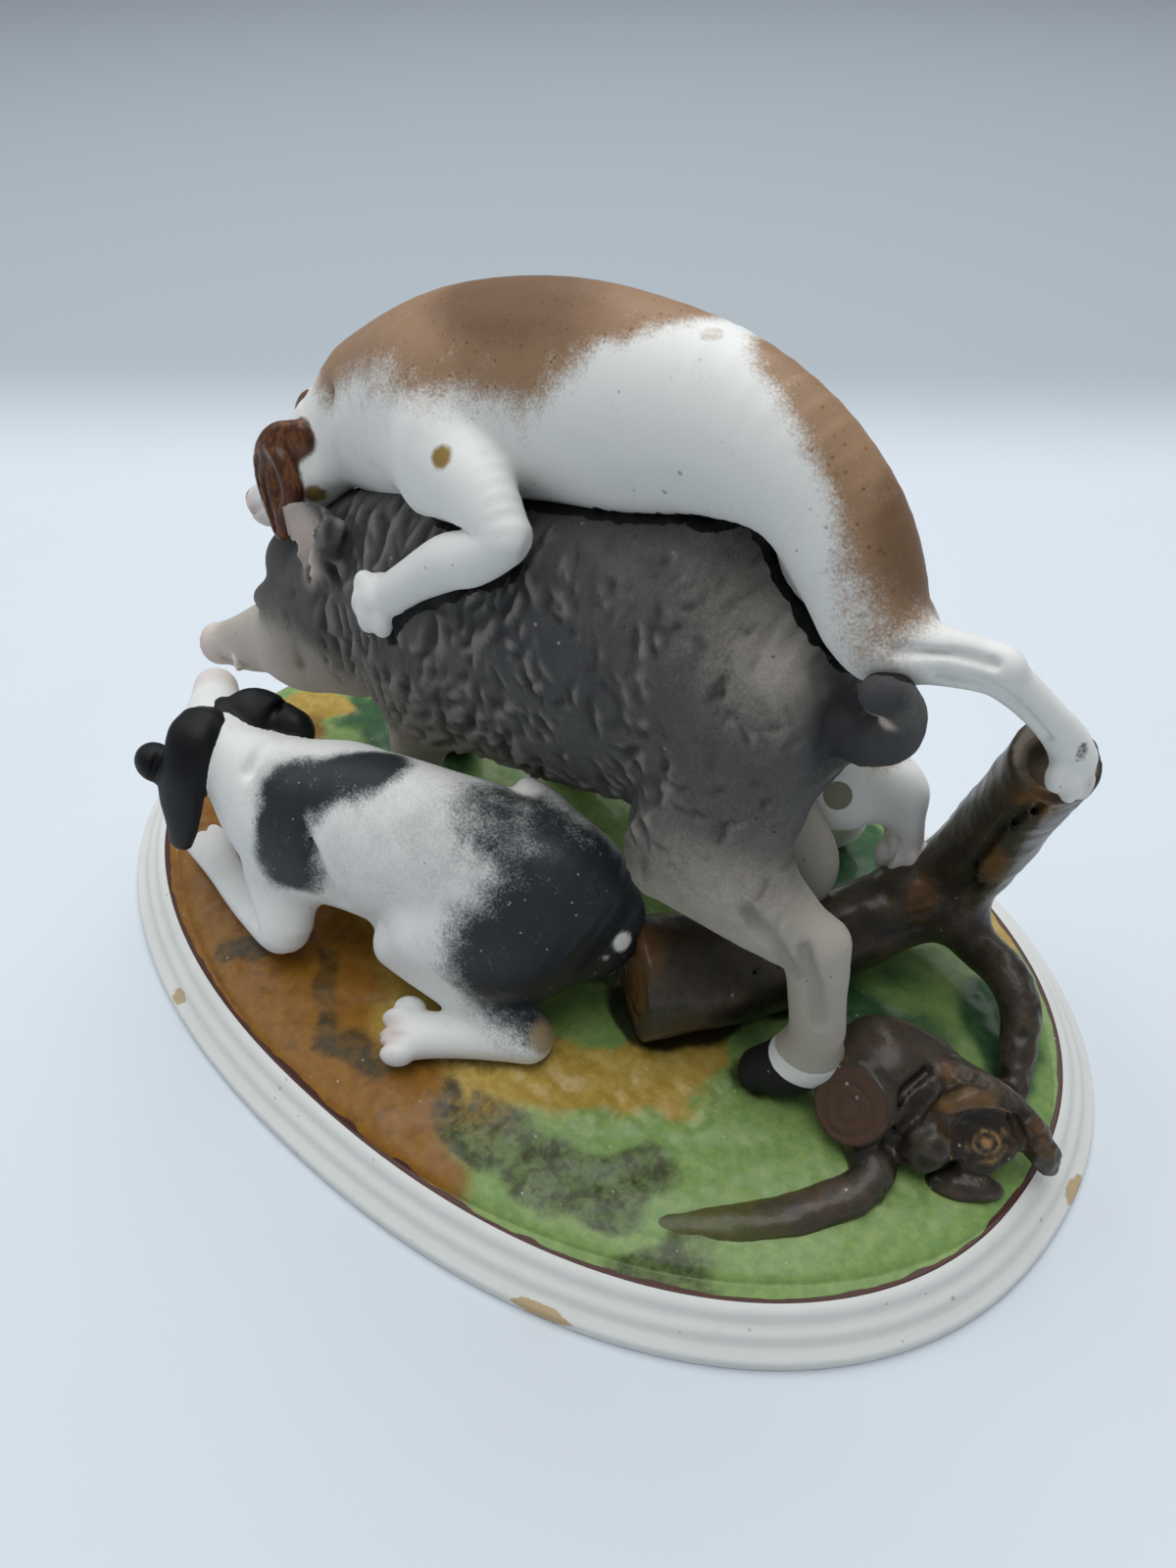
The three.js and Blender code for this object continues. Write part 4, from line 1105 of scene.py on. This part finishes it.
def boar_strokes(rng, side):
    """Wavy locks on neck and shoulder, shorter ones along the flank, sparse nicks on the rump."""
    out = []
    for _ in range(270):
        x = rng.uniform(-44, 6)
        z = rng.uniform(44, 92)
        if x < -30 and z > 84:
            continue
        lean = -1.75 + 0.35 * math.sin(x / 9 + side) + rng.uniform(-0.4, 0.4) + 0.012 * (z - 66)
        out.append((x, z, lean, rng.uniform(6, 13), rng.uniform(0.8, 1.3), rng.uniform(-0.06, 0.06),
                    rng.uniform(0.3, 0.62)))
    for _ in range(150):
        x = rng.uniform(0, 34)
        z = rng.uniform(42, 94)
        lean = -1.3 + rng.uniform(-0.8, 0.8)
        low = smoothstep(86, 60, z)
        out.append((x, z, lean, rng.uniform(4, 9), rng.uniform(0.6, 1.1), rng.uniform(-0.12, 0.12),
                    rng.uniform(0.2, 0.36) + 0.2 * low))
    for _ in range(46):
        x = rng.uniform(24, 60)
        z = rng.uniform(52, 98)
        out.append((x, z, rng.uniform(-2.6, 0.4), rng.uniform(3, 6.5), rng.uniform(0.5, 0.9),
                    rng.choice((-0.2, 0.2)) * rng.uniform(0.4, 1.2), rng.uniform(0.2, 0.4)))
    return out


def within(clay, p):
    """Which of the points p lie inside the clay's box."""
    high = clay.low + clay.step * (np.array(clay.field.shape) - 2)
    return ((p > clay.low) & (p < high)).all(axis=1)


def contact(clay, p, reach):
    """Distance to another figure's surface, and no more than four times reach."""
    d = np.full(len(p), FAR)
    near = within(clay, p)
    if near.any():
        d[near] = sample(clay, p[near])
    return np.minimum(d, reach * 4)


def on_shape(shape, low, high, p):
    """1 on the skin of a shape that is modelled by itself inside a box, 0 off it."""
    clay = Clay(low, high)
    shape(clay)
    return smoothstep(0.75, 0.25, contact(clay, p, 1.0))


def crease_shade_mask(clay, p, n, reach):
    """A mask for painted shade, high in grooves and folds: how much closer the surface stays, a short way off
    it.
    """
    above = p + n * reach
    near = within(clay, above)
    d = np.full(len(p), reach)
    d[near] = sample(clay, above[near])
    return smoothstep(0.0, 0.45, (reach - d) / reach)


def add(piece, material):
    """Gives a piece its material and its place on the part."""
    piece.data.materials.append(material)
    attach(piece, BODY)
    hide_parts(NODE)


def skin_of(clay):
    """Vertices, faces and normals of the clay's surface."""
    verts, tris, quads = clay.mesh()
    return verts, (tris, quads), gradient(clay, verts)


CLAYS = {
    "boar": boar_clay(),
    "top": top_hound_clay(),
    "left": left_hound_clay(),
    "far": far_hound_clay(),
    "tree": tree_clay(),
}


def build_boar():
    clay = CLAYS["boar"]
    v, faces, n = skin_of(clay)
    rng = np.random.default_rng(7)
    relief = np.zeros(len(v), np.float32)
    for side in (-1, 1):
        q = v[:, [0, 2]] + 0.8 * np.stack([noise(v, 7, 3), noise(v, 7, 4)], 1)
        facing = n[:, 1] * side > -0.1
        relief += stroke_depth(q, facing, boar_strokes(rng, side))
    body = smoothstep(-47, -38, v[:, 0]) * smoothstep(40, 48, v[:, 2])
    relief *= body
    pits = np.clip(noise(v, 3.2, 9) - 0.45, 0, 1) * smoothstep(-10, 30, v[:, 0]) * body
    relief -= 0.5 * pits
    relief += 0.05 * noise(v, 1.6, 5) * body + 0.12 * noise(v, 6, 6) * body
    v = v + n * relief[:, None]
    # Painted shade in the grooves of the locks and in the creases, weaker at both ends of the body
    hollow = np.maximum(crease_shade_mask(clay, v, n, 1.6), smoothstep(0.02, 0.4, -relief))
    hollow *= 1 - 0.75 * np.maximum(smoothstep(50, 56, v[:, 0]), smoothstep(-46, -50, v[:, 0]))
    top = contact(CLAYS["top"], v, 1.0)
    ragged = 0.35 * noise(v, 1.4, 21) + 0.4 * noise(v, 4, 22)
    along = smoothstep(-24, -18, v[:, 0]) * smoothstep(12, 4, v[:, 1])
    line = smoothstep(2.2, 1.3, top + ragged) * along * smoothstep(60, 66, v[:, 2])
    light = any_of(
        smoothstep(58, 42, v[:, 2] + 3 * noise(v, 9, 11)) * 0.7,
        0.9 * patch(v, (60, -12, 46), (14, 9, 9), 0.5),
        0.6 * patch(v, (46, -6, 94), (14, 14, 13), 0.7),
        0.6 * patch(v, (48, -18, 50), (17, 12, 13), 0.8),
        patch(v, (-76, -13, 42), (15, 12, 14), 0.45),
        patch(v, (-54, -14, 45), (20, 18, 13), 0.5) * 0.95,
        patch(v, (62, -12, 34), (10, 10, 18), 0.3),
        0.35 * patch(v, (-24, -18, 56), (12, 8, 10), 0.6),
        0.5 * patch(v, (40, 13, 34), (9, 8, 16), 0.5),
    )
    dark = any_of(
        0.6 * smoothstep(88, 104, v[:, 2] + 4 * noise(v, 10, 12)) * smoothstep(34, 16, v[:, 0]),
        0.35 * patch(v, (16, -20, 76), (16, 10, 14), 0.6),
        patch(v, (52, -1, 79), (8, 9, 9), 0.5) * 0.9,
        0.6 * patch(v, (61, -5, 83), (6, 7, 7), 0.4),
        0.9 * patch(v, (59.8, -8.4, 91.2), (4, 4, 3.2), 0.3),
        0.5 * patch(v, (6, -18, 84), (16, 9, 12), 0.7),
        0.2 * patch(v, (58, -17, 48), (5, 4, 8), 0.7),
        # Painted shadow on the boar's neck under the top hound's jaw
        0.75 * patch(v, (-40.4, -13, 75.6), (3.6, 8, 8), 0.4),
    )
    pink = any_of(
        0.8 * patch(v, (-92, -15, 33), (6, 8, 8), 0.5),
        0.9 * patch(v, (-45.4, -21.2, 77.4), (5.6, 4.6, 8.4), 0.4),
        0.5 * patch(v, (-82, -17, 35), (8, 6, 5), 0.5),
        0.32 * patch(v, (-60, -18, 43), (22, 12, 12), 0.6),
        0.7 * patch(v, (59.6, -8.4, 87.2), (3.4, 3, 1.3), 0.4),
    ) * (1 - hollow * 0.3)
    hoofs = any_of(
        patch(v, (58.2, -14, 15.6), (8, 7, 5), 0.12),
        patch(v, (-35, -14, 13), (7, 7, 5), 0.2),
        patch(v, (-49, 12, 13), (7, 7, 5), 0.2),
    )
    white = patch(v + 0.5 * noise(v, 2.4, 23)[:, None], (62.6, -13, 19.4), (8, 8, 3.4), 0.16)
    tusk = any_of(*[patch(v, (-78.5, y, 36.2), (1.3, 1.6, 2.0), 0.15) for y in (-18.9, -8.9)])
    # ridge is the painted highlight on the raised locks, hollow the painted shade in their grooves
    masks = {
        "light": light, "dark": dark, "hollow": hollow, "ridge": smoothstep(0.05, 0.4, relief),
        "pink": pink, "white": white, "hoof": hoofs, "line": line, "tusk": tusk,
    }
    add(mesh_piece("boar", v, faces, masks), boar_paint())


# Lines that the tan on the top hound's back and croup follows
SPINE = [(-43, 0, 108), (-36, 0, 113), (-22, 1, 120.5), (-5, 1, 125.5), (8, 2, 126.5), (16, 3, 126.5)]
CROUP = [(34, 5, 123.5), (42, 4.5, 120), (50, 4.5, 112.5), (56, 4.5, 103), (57.6, 4, 99)]


def build_top_hound():
    clay = CLAYS["top"]
    v, faces, n = skin_of(clay)
    wander = 2.0 * noise(v, 9, 31)
    x = v[:, 0]
    reach = 12.5 + 5.5 * smoothstep(-44, -20, x) - 11 * smoothstep(0, 20, x)
    tan = any_of(
        smoothstep(1.4, 0.68, (near_line(v, SPINE) + wander) / reach),
        smoothstep(1.6, 0.6, (near_line(v, CROUP) + wander) / (6.2 + 3 * smoothstep(32, 48, x)))
        * smoothstep(64, 57, x),
    )
    deep = any_of(
        patch(v, (-9, -3, 123), (18, 9, 7), 0.6),
        patch(v, (55, 3, 107), (6, 7, 13), 0.6),
    )
    ear = any_of(
        on_shape(top_hound_ears, (-70, -26, 72), (-44, 6, 100), v),
        patch(v, (-51, -15.6, 95.2), (2.6, 2.8, 2.8), 0.1),
    )
    spot = any_of(
        0.7 * patch(v, (-46.4, -14.8, 84), (1.7, 3.0, 2.3), 0.5),
        0.9 * patch(v, (-8.6, -18.6, 104.4), (1.9, 3.0, 1.6), 0.9),
        0.45 * patch(v, (24.7, -1.1, 125.5), (1.8, 1.8, 1.8), 0.2),
    )
    boar = contact(CLAYS["boar"], v, 1.0)
    ragged = 1.0 * noise(v, 1.2, 41) + 0.8 * noise(v, 4.5, 42)
    along = smoothstep(4, 12, x) * smoothstep(12, 4, v[:, 1]) * smoothstep(56.5, 54.5, x)
    thick = 1.0 + 1.6 * smoothstep(28, 40, x)
    line = smoothstep(1.0, 0.0, (boar + ragged) / thick) * along
    pink = any_of(
        0.5 * patch(v, (-27, -21, 73), (4, 5, 4), 0.5),
        0.5 * patch(v, (80, 17, 73.4), (4, 5, 3), 0.5),
        0.6 * patch(v, (-64, -15, 76), (5, 5, 4), 0.5),
    )
    # Eyes, nose and a dark touch on the braced paw
    black = any_of(
        patch(v, (-60.4, -16.6, 82.6), (1.2, 1.0, 1.0), 0.25),
        patch(v, (-61.4, -8.6, 82.6), (1.2, 1.0, 1.0), 0.25),
        patch(v, (-67, -15.4, 77.4), (1.8, 2.2, 1.6), 0.2),
        0.55 * patch(v, (80.4, 12.6, 80.2), (1.1, 1.4, 2.0), 0.6),
    )
    masks = {
        "tan": tan, "deep": deep, "ear": ear, "spot": spot, "line": line, "pink": pink, "black": black,
        # Painted shade in the folds of the ears
        "hollow": crease_shade_mask(clay, v, n, 1.2) * ear,
    }
    add(mesh_piece("hound_on_back", v, faces, masks, n), top_hound_paint())


def build_left_hound():
    clay = CLAYS["left"]
    v, faces, n = skin_of(clay)
    saddle = [(-13, -34, 54), (-18.5, -39.5, 52), (-23, -45.5, 48), (-22.5, -49, 42.5), (-20.5, -49.5, 35)]
    black = any_of(
        smoothstep(1.35, 0.5, (near_line(v, saddle) + 1.5 * noise(v, 7, 51)) / 6.4),
        patch(v, (26, -25, 36), (15, 15, 19), 0.34),
        patch(v, (23, -36, 33), (14, 13, 15), 0.4),
        0.75 * patch(v, (12, -27, 52), (11, 9, 7), 0.5),
    )
    haze = any_of(
        0.25 * patch(v, (-8, -42, 42), (14, 9, 11), 0.7),
        0.5 * patch(v, (8, -32, 50), (14, 12, 12), 0.6),
        0.5 * patch(v, (-30, -45, 32), (7, 7, 14), 0.6),
    )
    deep = any_of(
        patch(v, (29, -30, 30), (9, 12, 13), 0.6),
        0.6 * patch(v, (-27.5, -43, 48), (5, 5, 4), 0.7),
    )
    ear = on_shape(left_hound_ears, (-60, -62, 24), (-32, -24, 58), v)
    pink = any_of(
        0.6 * patch(v, (4, -53, 14.4), (5, 5, 4), 0.4),
        0.5 * patch(v, (-60.5, -35, 47.6), (7, 6, 6), 0.4),
        0.4 * patch(v, (-59, -45, 14), (4, 4, 4), 0.5),
    )
    # Chips on the rump and at the tip of the tail
    chip = any_of(
        patch(v, (31, -22, 33.5), (1.6, 1.6, 1.9), 0.2),
        patch(v, (30.6, -25.4, 31), (1.2, 1.2, 1.2), 0.2),
        patch(v, (7.4, -19.4, 52), (3.4, 3, 3), 0.2),
    )
    masks = {
        "black": black, "haze": haze, "ear": ear, "pink": pink, "deep": deep, "chip": chip,
        "stain": patch(v, (26, -36, 17.8), (3.6, 3, 2.4), 0.5),
    }
    add(mesh_piece("hound_crouching", v, faces, masks, n), left_hound_paint())


def build_far_hound():
    clay = CLAYS["far"]
    v, faces, n = skin_of(clay)
    tan = any_of(
        patch(v, (20, 33, 61), (17, 11, 7), 0.4),
        patch(v, (-14, 34, 60), (9, 10, 6), 0.5),
        0.7 * patch(v, (46, 26, 54), (5, 5, 4), 0.5),
    )
    pink = any_of(
        0.5 * patch(v, (53, 27, 35), (5, 4.5, 6), 0.4),
        0.6 * patch(v, (-39, 20.6, 51), (5, 5, 4), 0.4),
    )
    # Shadow between the toes of the braced foot, nose and eyes
    black = any_of(
        0.4 * patch(v, (53.8, 25.8, 34.4), (0.8, 1.2, 3.0), 0.7),
        0.4 * patch(v, (56, 27, 33), (0.7, 1, 2.2), 0.5),
        patch(v, (-42.6, 19.4, 52.6), (1.8, 2, 1.5), 0.2),
        patch(v, (-35, 17.4, 56.4), (1.1, 1, 0.9), 0.25),
        patch(v, (-33, 29.4, 57), (1.1, 1, 0.9), 0.25),
    )
    masks = {
        "tan": tan, "pink": pink, "black": black,
        # Painted greenish reflection on the near side of the braced thigh
        "spot": patch(v, (44.2, 18.2, 46.9), (2.4, 3.4, 2.8), 0.2),
        "ear": on_shape(far_hound_ears, (-36, 14, 42), (-20, 42, 64), v),
    }
    add(mesh_piece("hound_far", v, faces, masks, n), far_hound_paint())


def off_cut(v, middle, way):
    """Height above a flat cut, and distance from its middle along it."""
    q = v - middle
    height = q @ way
    return height, np.linalg.norm(q - height[:, None] * way, axis=1)


def on_cut(v, middle, way, radius):
    """1 on a flat cut, 0 off it."""
    height, out = off_cut(v, middle, way)
    level = smoothstep(-0.7, -0.35, height) * smoothstep(1.2, 0.8, height)
    return level * smoothstep(radius, radius - 0.5, out)


def ring_grooves(v, middle, way, radii):
    """1 in the rings of a flat cut, 0 between them."""
    _, out = off_cut(v, middle, way)
    return any_of(*[smoothstep(0.55, 0.25, np.abs(out - r)) for r in radii])


def build_tree():
    clay = CLAYS["tree"]
    v, faces, n = skin_of(clay)
    grain = noise(v, 1.6, 61) * 0.07 + noise(v, 4, 62) * 0.22
    flat = any_of(
        patch(v, (31.4, -19.6, 22.5), (9, 9, 12), 0.1),
        on_cut(v, DISC, DISC_WAY, DISC_RADIUS + 0.2),
        on_cut(v, KNOT, KNOT_WAY, KNOT_RADIUS),
    )
    # The stump's folds are knobbly
    knobbly = smoothstep(76, 84, v[:, 0]) * smoothstep(8, 12, v[:, 2])
    grain -= 0.35 * knobbly * smoothstep(0.1, 0.6, np.abs(noise(v, 2.6, 63)))
    relief = grain * (1 - 0.7 * flat)
    v = v + n * relief[:, None]
    # Painted shade in grooves and folds
    hollow = np.maximum(crease_shade_mask(clay, v, n, 1.6), smoothstep(0.12, 0.4, -relief))
    amber = any_of(
        0.8 * patch(v, (31.2, -19.8, 24), (7.4, 8, 11), 0.35),
        0.8 * patch(v, (61, 23.6, 30), (2.6, 3, 5.4), 0.6),
        0.8 * patch(v, (71, 24.6, 46), (2, 4, 12), 0.6),
        0.7 * patch(v, (77, 14, 66), (3, 3, 6), 0.6),
        0.5 * patch(v, (86, -4, 23), (4.6, 5, 2.2), 0.6),
        0.5 * patch(v, (95, 1, 17.6), (6, 3, 3), 0.5),
        0.6 * patch(v, (84.4, -7, 20), (3, 2, 4), 0.5),
        0.6 * patch(v, (80.8, -1, 23), (2, 2, 1.6), 0.5),
    )
    knot = on_cut(v, KNOT, KNOT_WAY, KNOT_RADIUS)
    groove = knot * ring_grooves(v, KNOT, KNOT_WAY, KNOT_RINGS)
    # On the knot, its dark rings take the place of the painted shade
    hollow = np.maximum(hollow * (1 - knot), 0.9 * groove)
    masks = {
        "amber": amber * (1 - knot), "hollow": hollow,
        "cut": on_cut(v, DISC, DISC_WAY, DISC_RADIUS),
        # Painted highlight on the raised grain, and ochre on the knot's face between its rings
        "ridge": np.maximum(smoothstep(0.1, 0.5, relief) * 0.5, knot * (1 - groove)),
        # Painted shade, near black, low on the log under the boar
        "black": any_of(0.9 * smoothstep(17, 11, v[:, 2]) * smoothstep(64, 56, v[:, 0]),
                        0.8 * patch(v, (50, 4, 18), (12, 24, 8), 0.4)),
        "green": 0.75 * patch(v, (66, -40, 8.6), (16, 16, 3.4), 0.5),
    }
    add(mesh_piece("fallen_tree", v, faces, masks), tree_paint())


def ring_faces(count, rows, closed):
    """Quads between rows of count points each. A closed run joins its last row to the first."""
    faces = []
    for i in range(rows if closed else rows - 1):
        a, b = i * count, ((i + 1) % rows) * count
        for j in range(count):
            k = (j + 1) % count
            faces.append((a + j, a + k, b + k, b + j))
    return faces


# Inset of the rim's inner edge, hidden under the ground
RIM_INNER = RIM_INSET + 9.0
# Section of the rim, from the recess round the foot and up the steps: inset and height
RIM_PROFILE = [
    (RIM_INNER, 2.5), (9.9, 2.5), (9.4, 1.9), (9.0, 0.25), (8.7, 0.0), (0.35, 0.0), (0.08, 0.15),
    (0, 0.5), (0, 1.75), (0.12, 2.1), (0.5, 2.4), (1.6, 2.9), (2.1, 3.2), (2.4, 3.7), (2.65, 4.2),
    (3.0, 4.6), (3.5, 4.9), (4.1, 5.2), (4.5, 5.5), (4.75, 5.95), (5.0, 6.45), (5.35, 6.85),
    (5.8, 7.1), (6.4, 7.3), (7.1, 7.35), (7.8, 7.0), (9.4, 6.6), (RIM_INNER, 6.4),
]
# Heights of the shaded steps in that section
STEP_HEIGHTS = (3.1, 5.3)


def build_rim():
    count = 560
    t = np.linspace(0, 2 * math.pi, count, endpoint=False)
    rings = []
    for inset, z in RIM_PROFILE:
        x, y = oval(t, inset)
        ring = np.stack([x, y, np.full(count, z)], 1)
        wobble = 0.1 * noise(np.stack([x, y, np.full(count, z * 0.5)], 1), 16, 71)
        side = np.stack([x, y, 0 * x], 1) / np.hypot(x, y)[:, None]
        shown = 1.0 if 0.0 < inset < 7.5 and z > 1.9 else 0.0
        rings.append(ring - side * np.abs(wobble)[:, None] * shown)
    v = np.concatenate(rings)
    chip = any_of(
        patch(v, (53.3, -65.6, 1.6), (6.4, 3, 1.3), 0.25),
        0.8 * patch(v, (104.2, 8.3, 2.4), (2, 3.4, 1.0), 0.4),
        0.8 * patch(v, (-39.4, -67.6, 3.0), (2.2, 2, 1.1), 0.4),
    )
    # Painted shade along the two steps of the rim
    hollow = any_of(*[0.3 * smoothstep(0.5, 0.1, np.abs(v[:, 2] - z)) for z in STEP_HEIGHTS])
    rim = mesh_piece("base_rim", v, ring_faces(count, len(rings), True), {"chip": chip, "hollow": hollow})
    add(rim, rim_paint())


def zone(x, y, spots):
    """1 inside soft ovals on the ground. spots: middle, two half lengths and turn of each."""
    out = np.zeros_like(x)
    for cx, cy, rx, ry, turn in spots:
        c, s = math.cos(turn), math.sin(turn)
        u = ((x - cx) * c + (y - cy) * s) / rx
        w = (-(x - cx) * s + (y - cy) * c) / ry
        out = 1 - (1 - out) * (1 - smoothstep(1.35, 0.65, np.hypot(u, w)))
    return out


# The ground reaches a little under the rim, and its underside lies this far below the rim's top
GROUND_OVERLAP = 0.35
GROUND_SKIRT = 1.2


def build_ground():
    count = 540
    rows = 112
    t = np.linspace(0, 2 * math.pi, count, endpoint=False)
    edge_x, edge_y = oval(t, RIM_INSET - GROUND_OVERLAP)
    # Rings from the edge inwards, closer together near the edge
    shares = np.concatenate([[1.0], np.sin(np.linspace(math.pi / 2 * 0.955, 0.06, rows - 1))])
    underside = RIM_HEIGHT - GROUND_SKIRT
    rings = [np.stack([edge_x, edge_y, np.full(count, underside)], 1)]
    for share in shares:
        x, y = edge_x * share, edge_y * share
        rings.append(np.stack([x, y, ground_height(x, y)], 1))
    v = np.concatenate(rings)
    v = np.vstack([v, (0, 0, ground_height(0.0, 0.0)), (0, 0, underside)])
    x, y = v[:, 0], v[:, 1]
    inner = smoothstep(0.995, 0.93, np.hypot(x / GROUND_HALF_LENGTH, y / GROUND_HALF_WIDTH))
    flat = np.stack([x, y, 0 * x], 1)
    rough = 0.28 * noise(flat, 5.5, 81) + 0.16 * noise(flat, 2.2, 82)
    rough += 0.5 * noise(flat * np.array((0.5, 1, 1)), 11, 83)
    # Low tussocks in the middle, between the hound's foot and the boar's hoof
    tussock = zone(x, y, [(40, -31, 22, 9, 0.5), (24, -40, 12, 6, 0.3)])
    rough += tussock * 0.7 * np.abs(noise(flat, 4.0, 84))
    v[count:-1, 2] += (inner * rough)[count:-1]
    faces = ring_faces(count, len(rings), False)
    last = (len(rings) - 1) * count
    middle, under = len(v) - 2, len(v) - 1
    faces += [(last + j, last + (j + 1) % count, middle) for j in range(count)]
    faces += [((j + 1) % count, j, under) for j in range(count)]
    # The painted zones wander as brushed colours do
    wx = x + 5 * noise(flat, 13, 91) + 2 * noise(flat, 5, 93)
    wy = y + 5 * noise(flat, 13, 92) + 2 * noise(flat, 5, 94)
    # Painted shadow: the black lies in front of the log, and dark runs close under the animals
    near_log = contact(CLAYS["tree"], v, 3.0)
    log_side = smoothstep(62, 52, x) * smoothstep(-34, -24, y)
    animals = np.minimum(contact(CLAYS["left"], v, 3.0), contact(CLAYS["boar"], v, 3.0))
    masks = {
        "orange": zone(wx, wy, [(-50, -46, 46, 28, -0.5), (-6, -64, 36, 15, -0.12), (-84, -22, 15, 20, 0.3)]),
        "ochre": zone(wx, wy, [
            (-88, 4, 8, 8, 0), (32, -33, 24, 8, 0.45), (12, -46, 18, 12, -0.2), (46, -18, 9, 7, 0.9),
            (-20, -40, 26, 14, 0), (-10, 50, 26, 9, -0.1), (60, 48, 16, 7, -0.5),
        ]),
        "emerald": zone(wx, wy, [
            (58, 8, 15, 11, 0.6), (38, 40, 20, 12, 0), (-55, 6, 18, 14, 0), (-74, 10, 9, 12, 0),
            (82, 22, 9, 14, 0.6),
        ]),
        # Dark brush strokes, and painted shadow close under the animals
        "dark": any_of(
            0.8 * zone(wx, wy, [
                (36, -50, 12, 7, 0.2), (23, -56, 9, 3.4, -0.3), (52, -45, 10, 4, 0.3), (-10, -59, 6, 3, -0.4),
                (-20, -52, 3.2, 7, 0.6), (30, -49, 8, 3, 0.2), (-38, -55, 5, 3, 0), (64, -50, 9, 3, 0.5),
                (2, -56, 9, 4, 0.3), (-30, 52, 10, 5, 0.2), (20, 58, 10, 4, 0),
            ]),
            0.7 * smoothstep(2.6, 0.2, animals + 1.2 * noise(flat, 4, 95)),
        ),
        # Painted shadow of the log, near black
        "black": smoothstep(3.4, 0.4, near_log + 1.6 * noise(flat, 5, 96)) * log_side,
        "edge": smoothstep(0.75, 0.25, edge_distance(x, y) + 0.35 * noise(flat, 3, 97)),
    }
    add(mesh_piece("ground", v, faces, masks), ground_paint())


def edge_distance(x, y):
    """Rough distance inwards from the painted line."""
    u = np.abs(x / GROUND_HALF_LENGTH) ** SQUARENESS
    v = np.abs(y / GROUND_HALF_WIDTH) ** SQUARENESS
    share = (u + v) ** (1 / SQUARENESS)
    return (1 - share) * np.hypot(x, y) / np.maximum(share, 1e-3)


build_boar()
build_top_hound()
build_left_hound()
build_far_hound()
build_tree()
build_rim()
build_ground()


# Table, light and camera

def table():
    bpy.ops.mesh.primitive_plane_add(size=6.0, location=(0, 0, 0))
    floor = bpy.context.object
    floor.name = "table"
    paint = Paint("table_white", (222, 229, 236), 0.75)
    paint.layer(paint.cloud(60, 3.0, 0.6, 0.4, 0.7), (216, 223, 230), 0.12)
    # The sweep falls off into shade behind the group
    paint.layer(paint.step(paint.along((-0.66, 0.75, 0)), 190, 300), (178, 186, 193))
    floor.data.materials.append(paint.finish())


def area_light(name, at, to, size, power, colour):
    """A softbox at a place in metres, aimed at another."""
    data = bpy.data.lights.new(name, "AREA")
    data.shape = "RECTANGLE"
    data.size, data.size_y = size
    data.energy = power
    data.color = colour
    light = bpy.data.objects.new(name, data)
    light.location = at
    way = Vector(to) - Vector(at)
    light.rotation_euler = way.to_track_quat("-Z", "Y").to_euler()
    bpy.context.scene.collection.objects.link(light)


table()
area_light("softbox_behind", (-0.4, 0.82, 1.3), (-0.02, 0.1, 0), (1.3, 1.0), 9.9, (0.97, 0.99, 1.0))
area_light("softbox_above", (0.04, -0.06, 0.95), (0, 0, 0), (0.7, 0.6), 4.2, (0.98, 0.99, 1.0))
area_light("window_left", (-0.8, -0.2, 0.8), (0, 0, 0.05), (0.7, 0.6), 1.7, (0.95, 0.98, 1.0))
world = bpy.data.worlds.new("soft_room")
world.use_nodes = True
background = world.node_tree.nodes["Background"]
background.inputs["Color"].default_value = (0.80, 0.86, 0.92, 1)
background.inputs["Strength"].default_value = 0.3
bpy.context.scene.world = world
bpy.context.scene.view_settings.view_transform = "Standard"

# The photograph's camera, solved from the outline of the base: angles, distance and the point aimed at
AZIMUTH = math.radians(41.431)
ELEVATION = math.radians(41.0)
ROLL = math.radians(0.518)
DISTANCE = 0.243081
TARGET = Vector((-0.009817, 0.015325, 0.020))
LENS = 27.0
SENSOR_WIDTH = 36.0


def photo_camera():
    flat = math.cos(ELEVATION)
    back = Vector((math.sin(AZIMUTH) * flat, -math.cos(AZIMUTH) * flat, math.sin(ELEVATION)))
    level = Vector((math.cos(AZIMUTH), math.sin(AZIMUTH), 0))
    upright = back.cross(level)
    right = math.cos(ROLL) * level + math.sin(ROLL) * upright
    up = math.cos(ROLL) * upright - math.sin(ROLL) * level
    turn = Matrix((right, up, back)).transposed().to_4x4()
    data = bpy.data.cameras.new("camera")
    data.lens = LENS
    data.sensor_width = SENSOR_WIDTH
    data.clip_start = 0.01
    camera = bpy.data.objects.new("camera", data)
    camera.matrix_world = Matrix.Translation(TARGET + back * DISTANCE) @ turn
    bpy.context.scene.collection.objects.link(camera)
    bpy.context.scene.camera = camera


photo_camera()
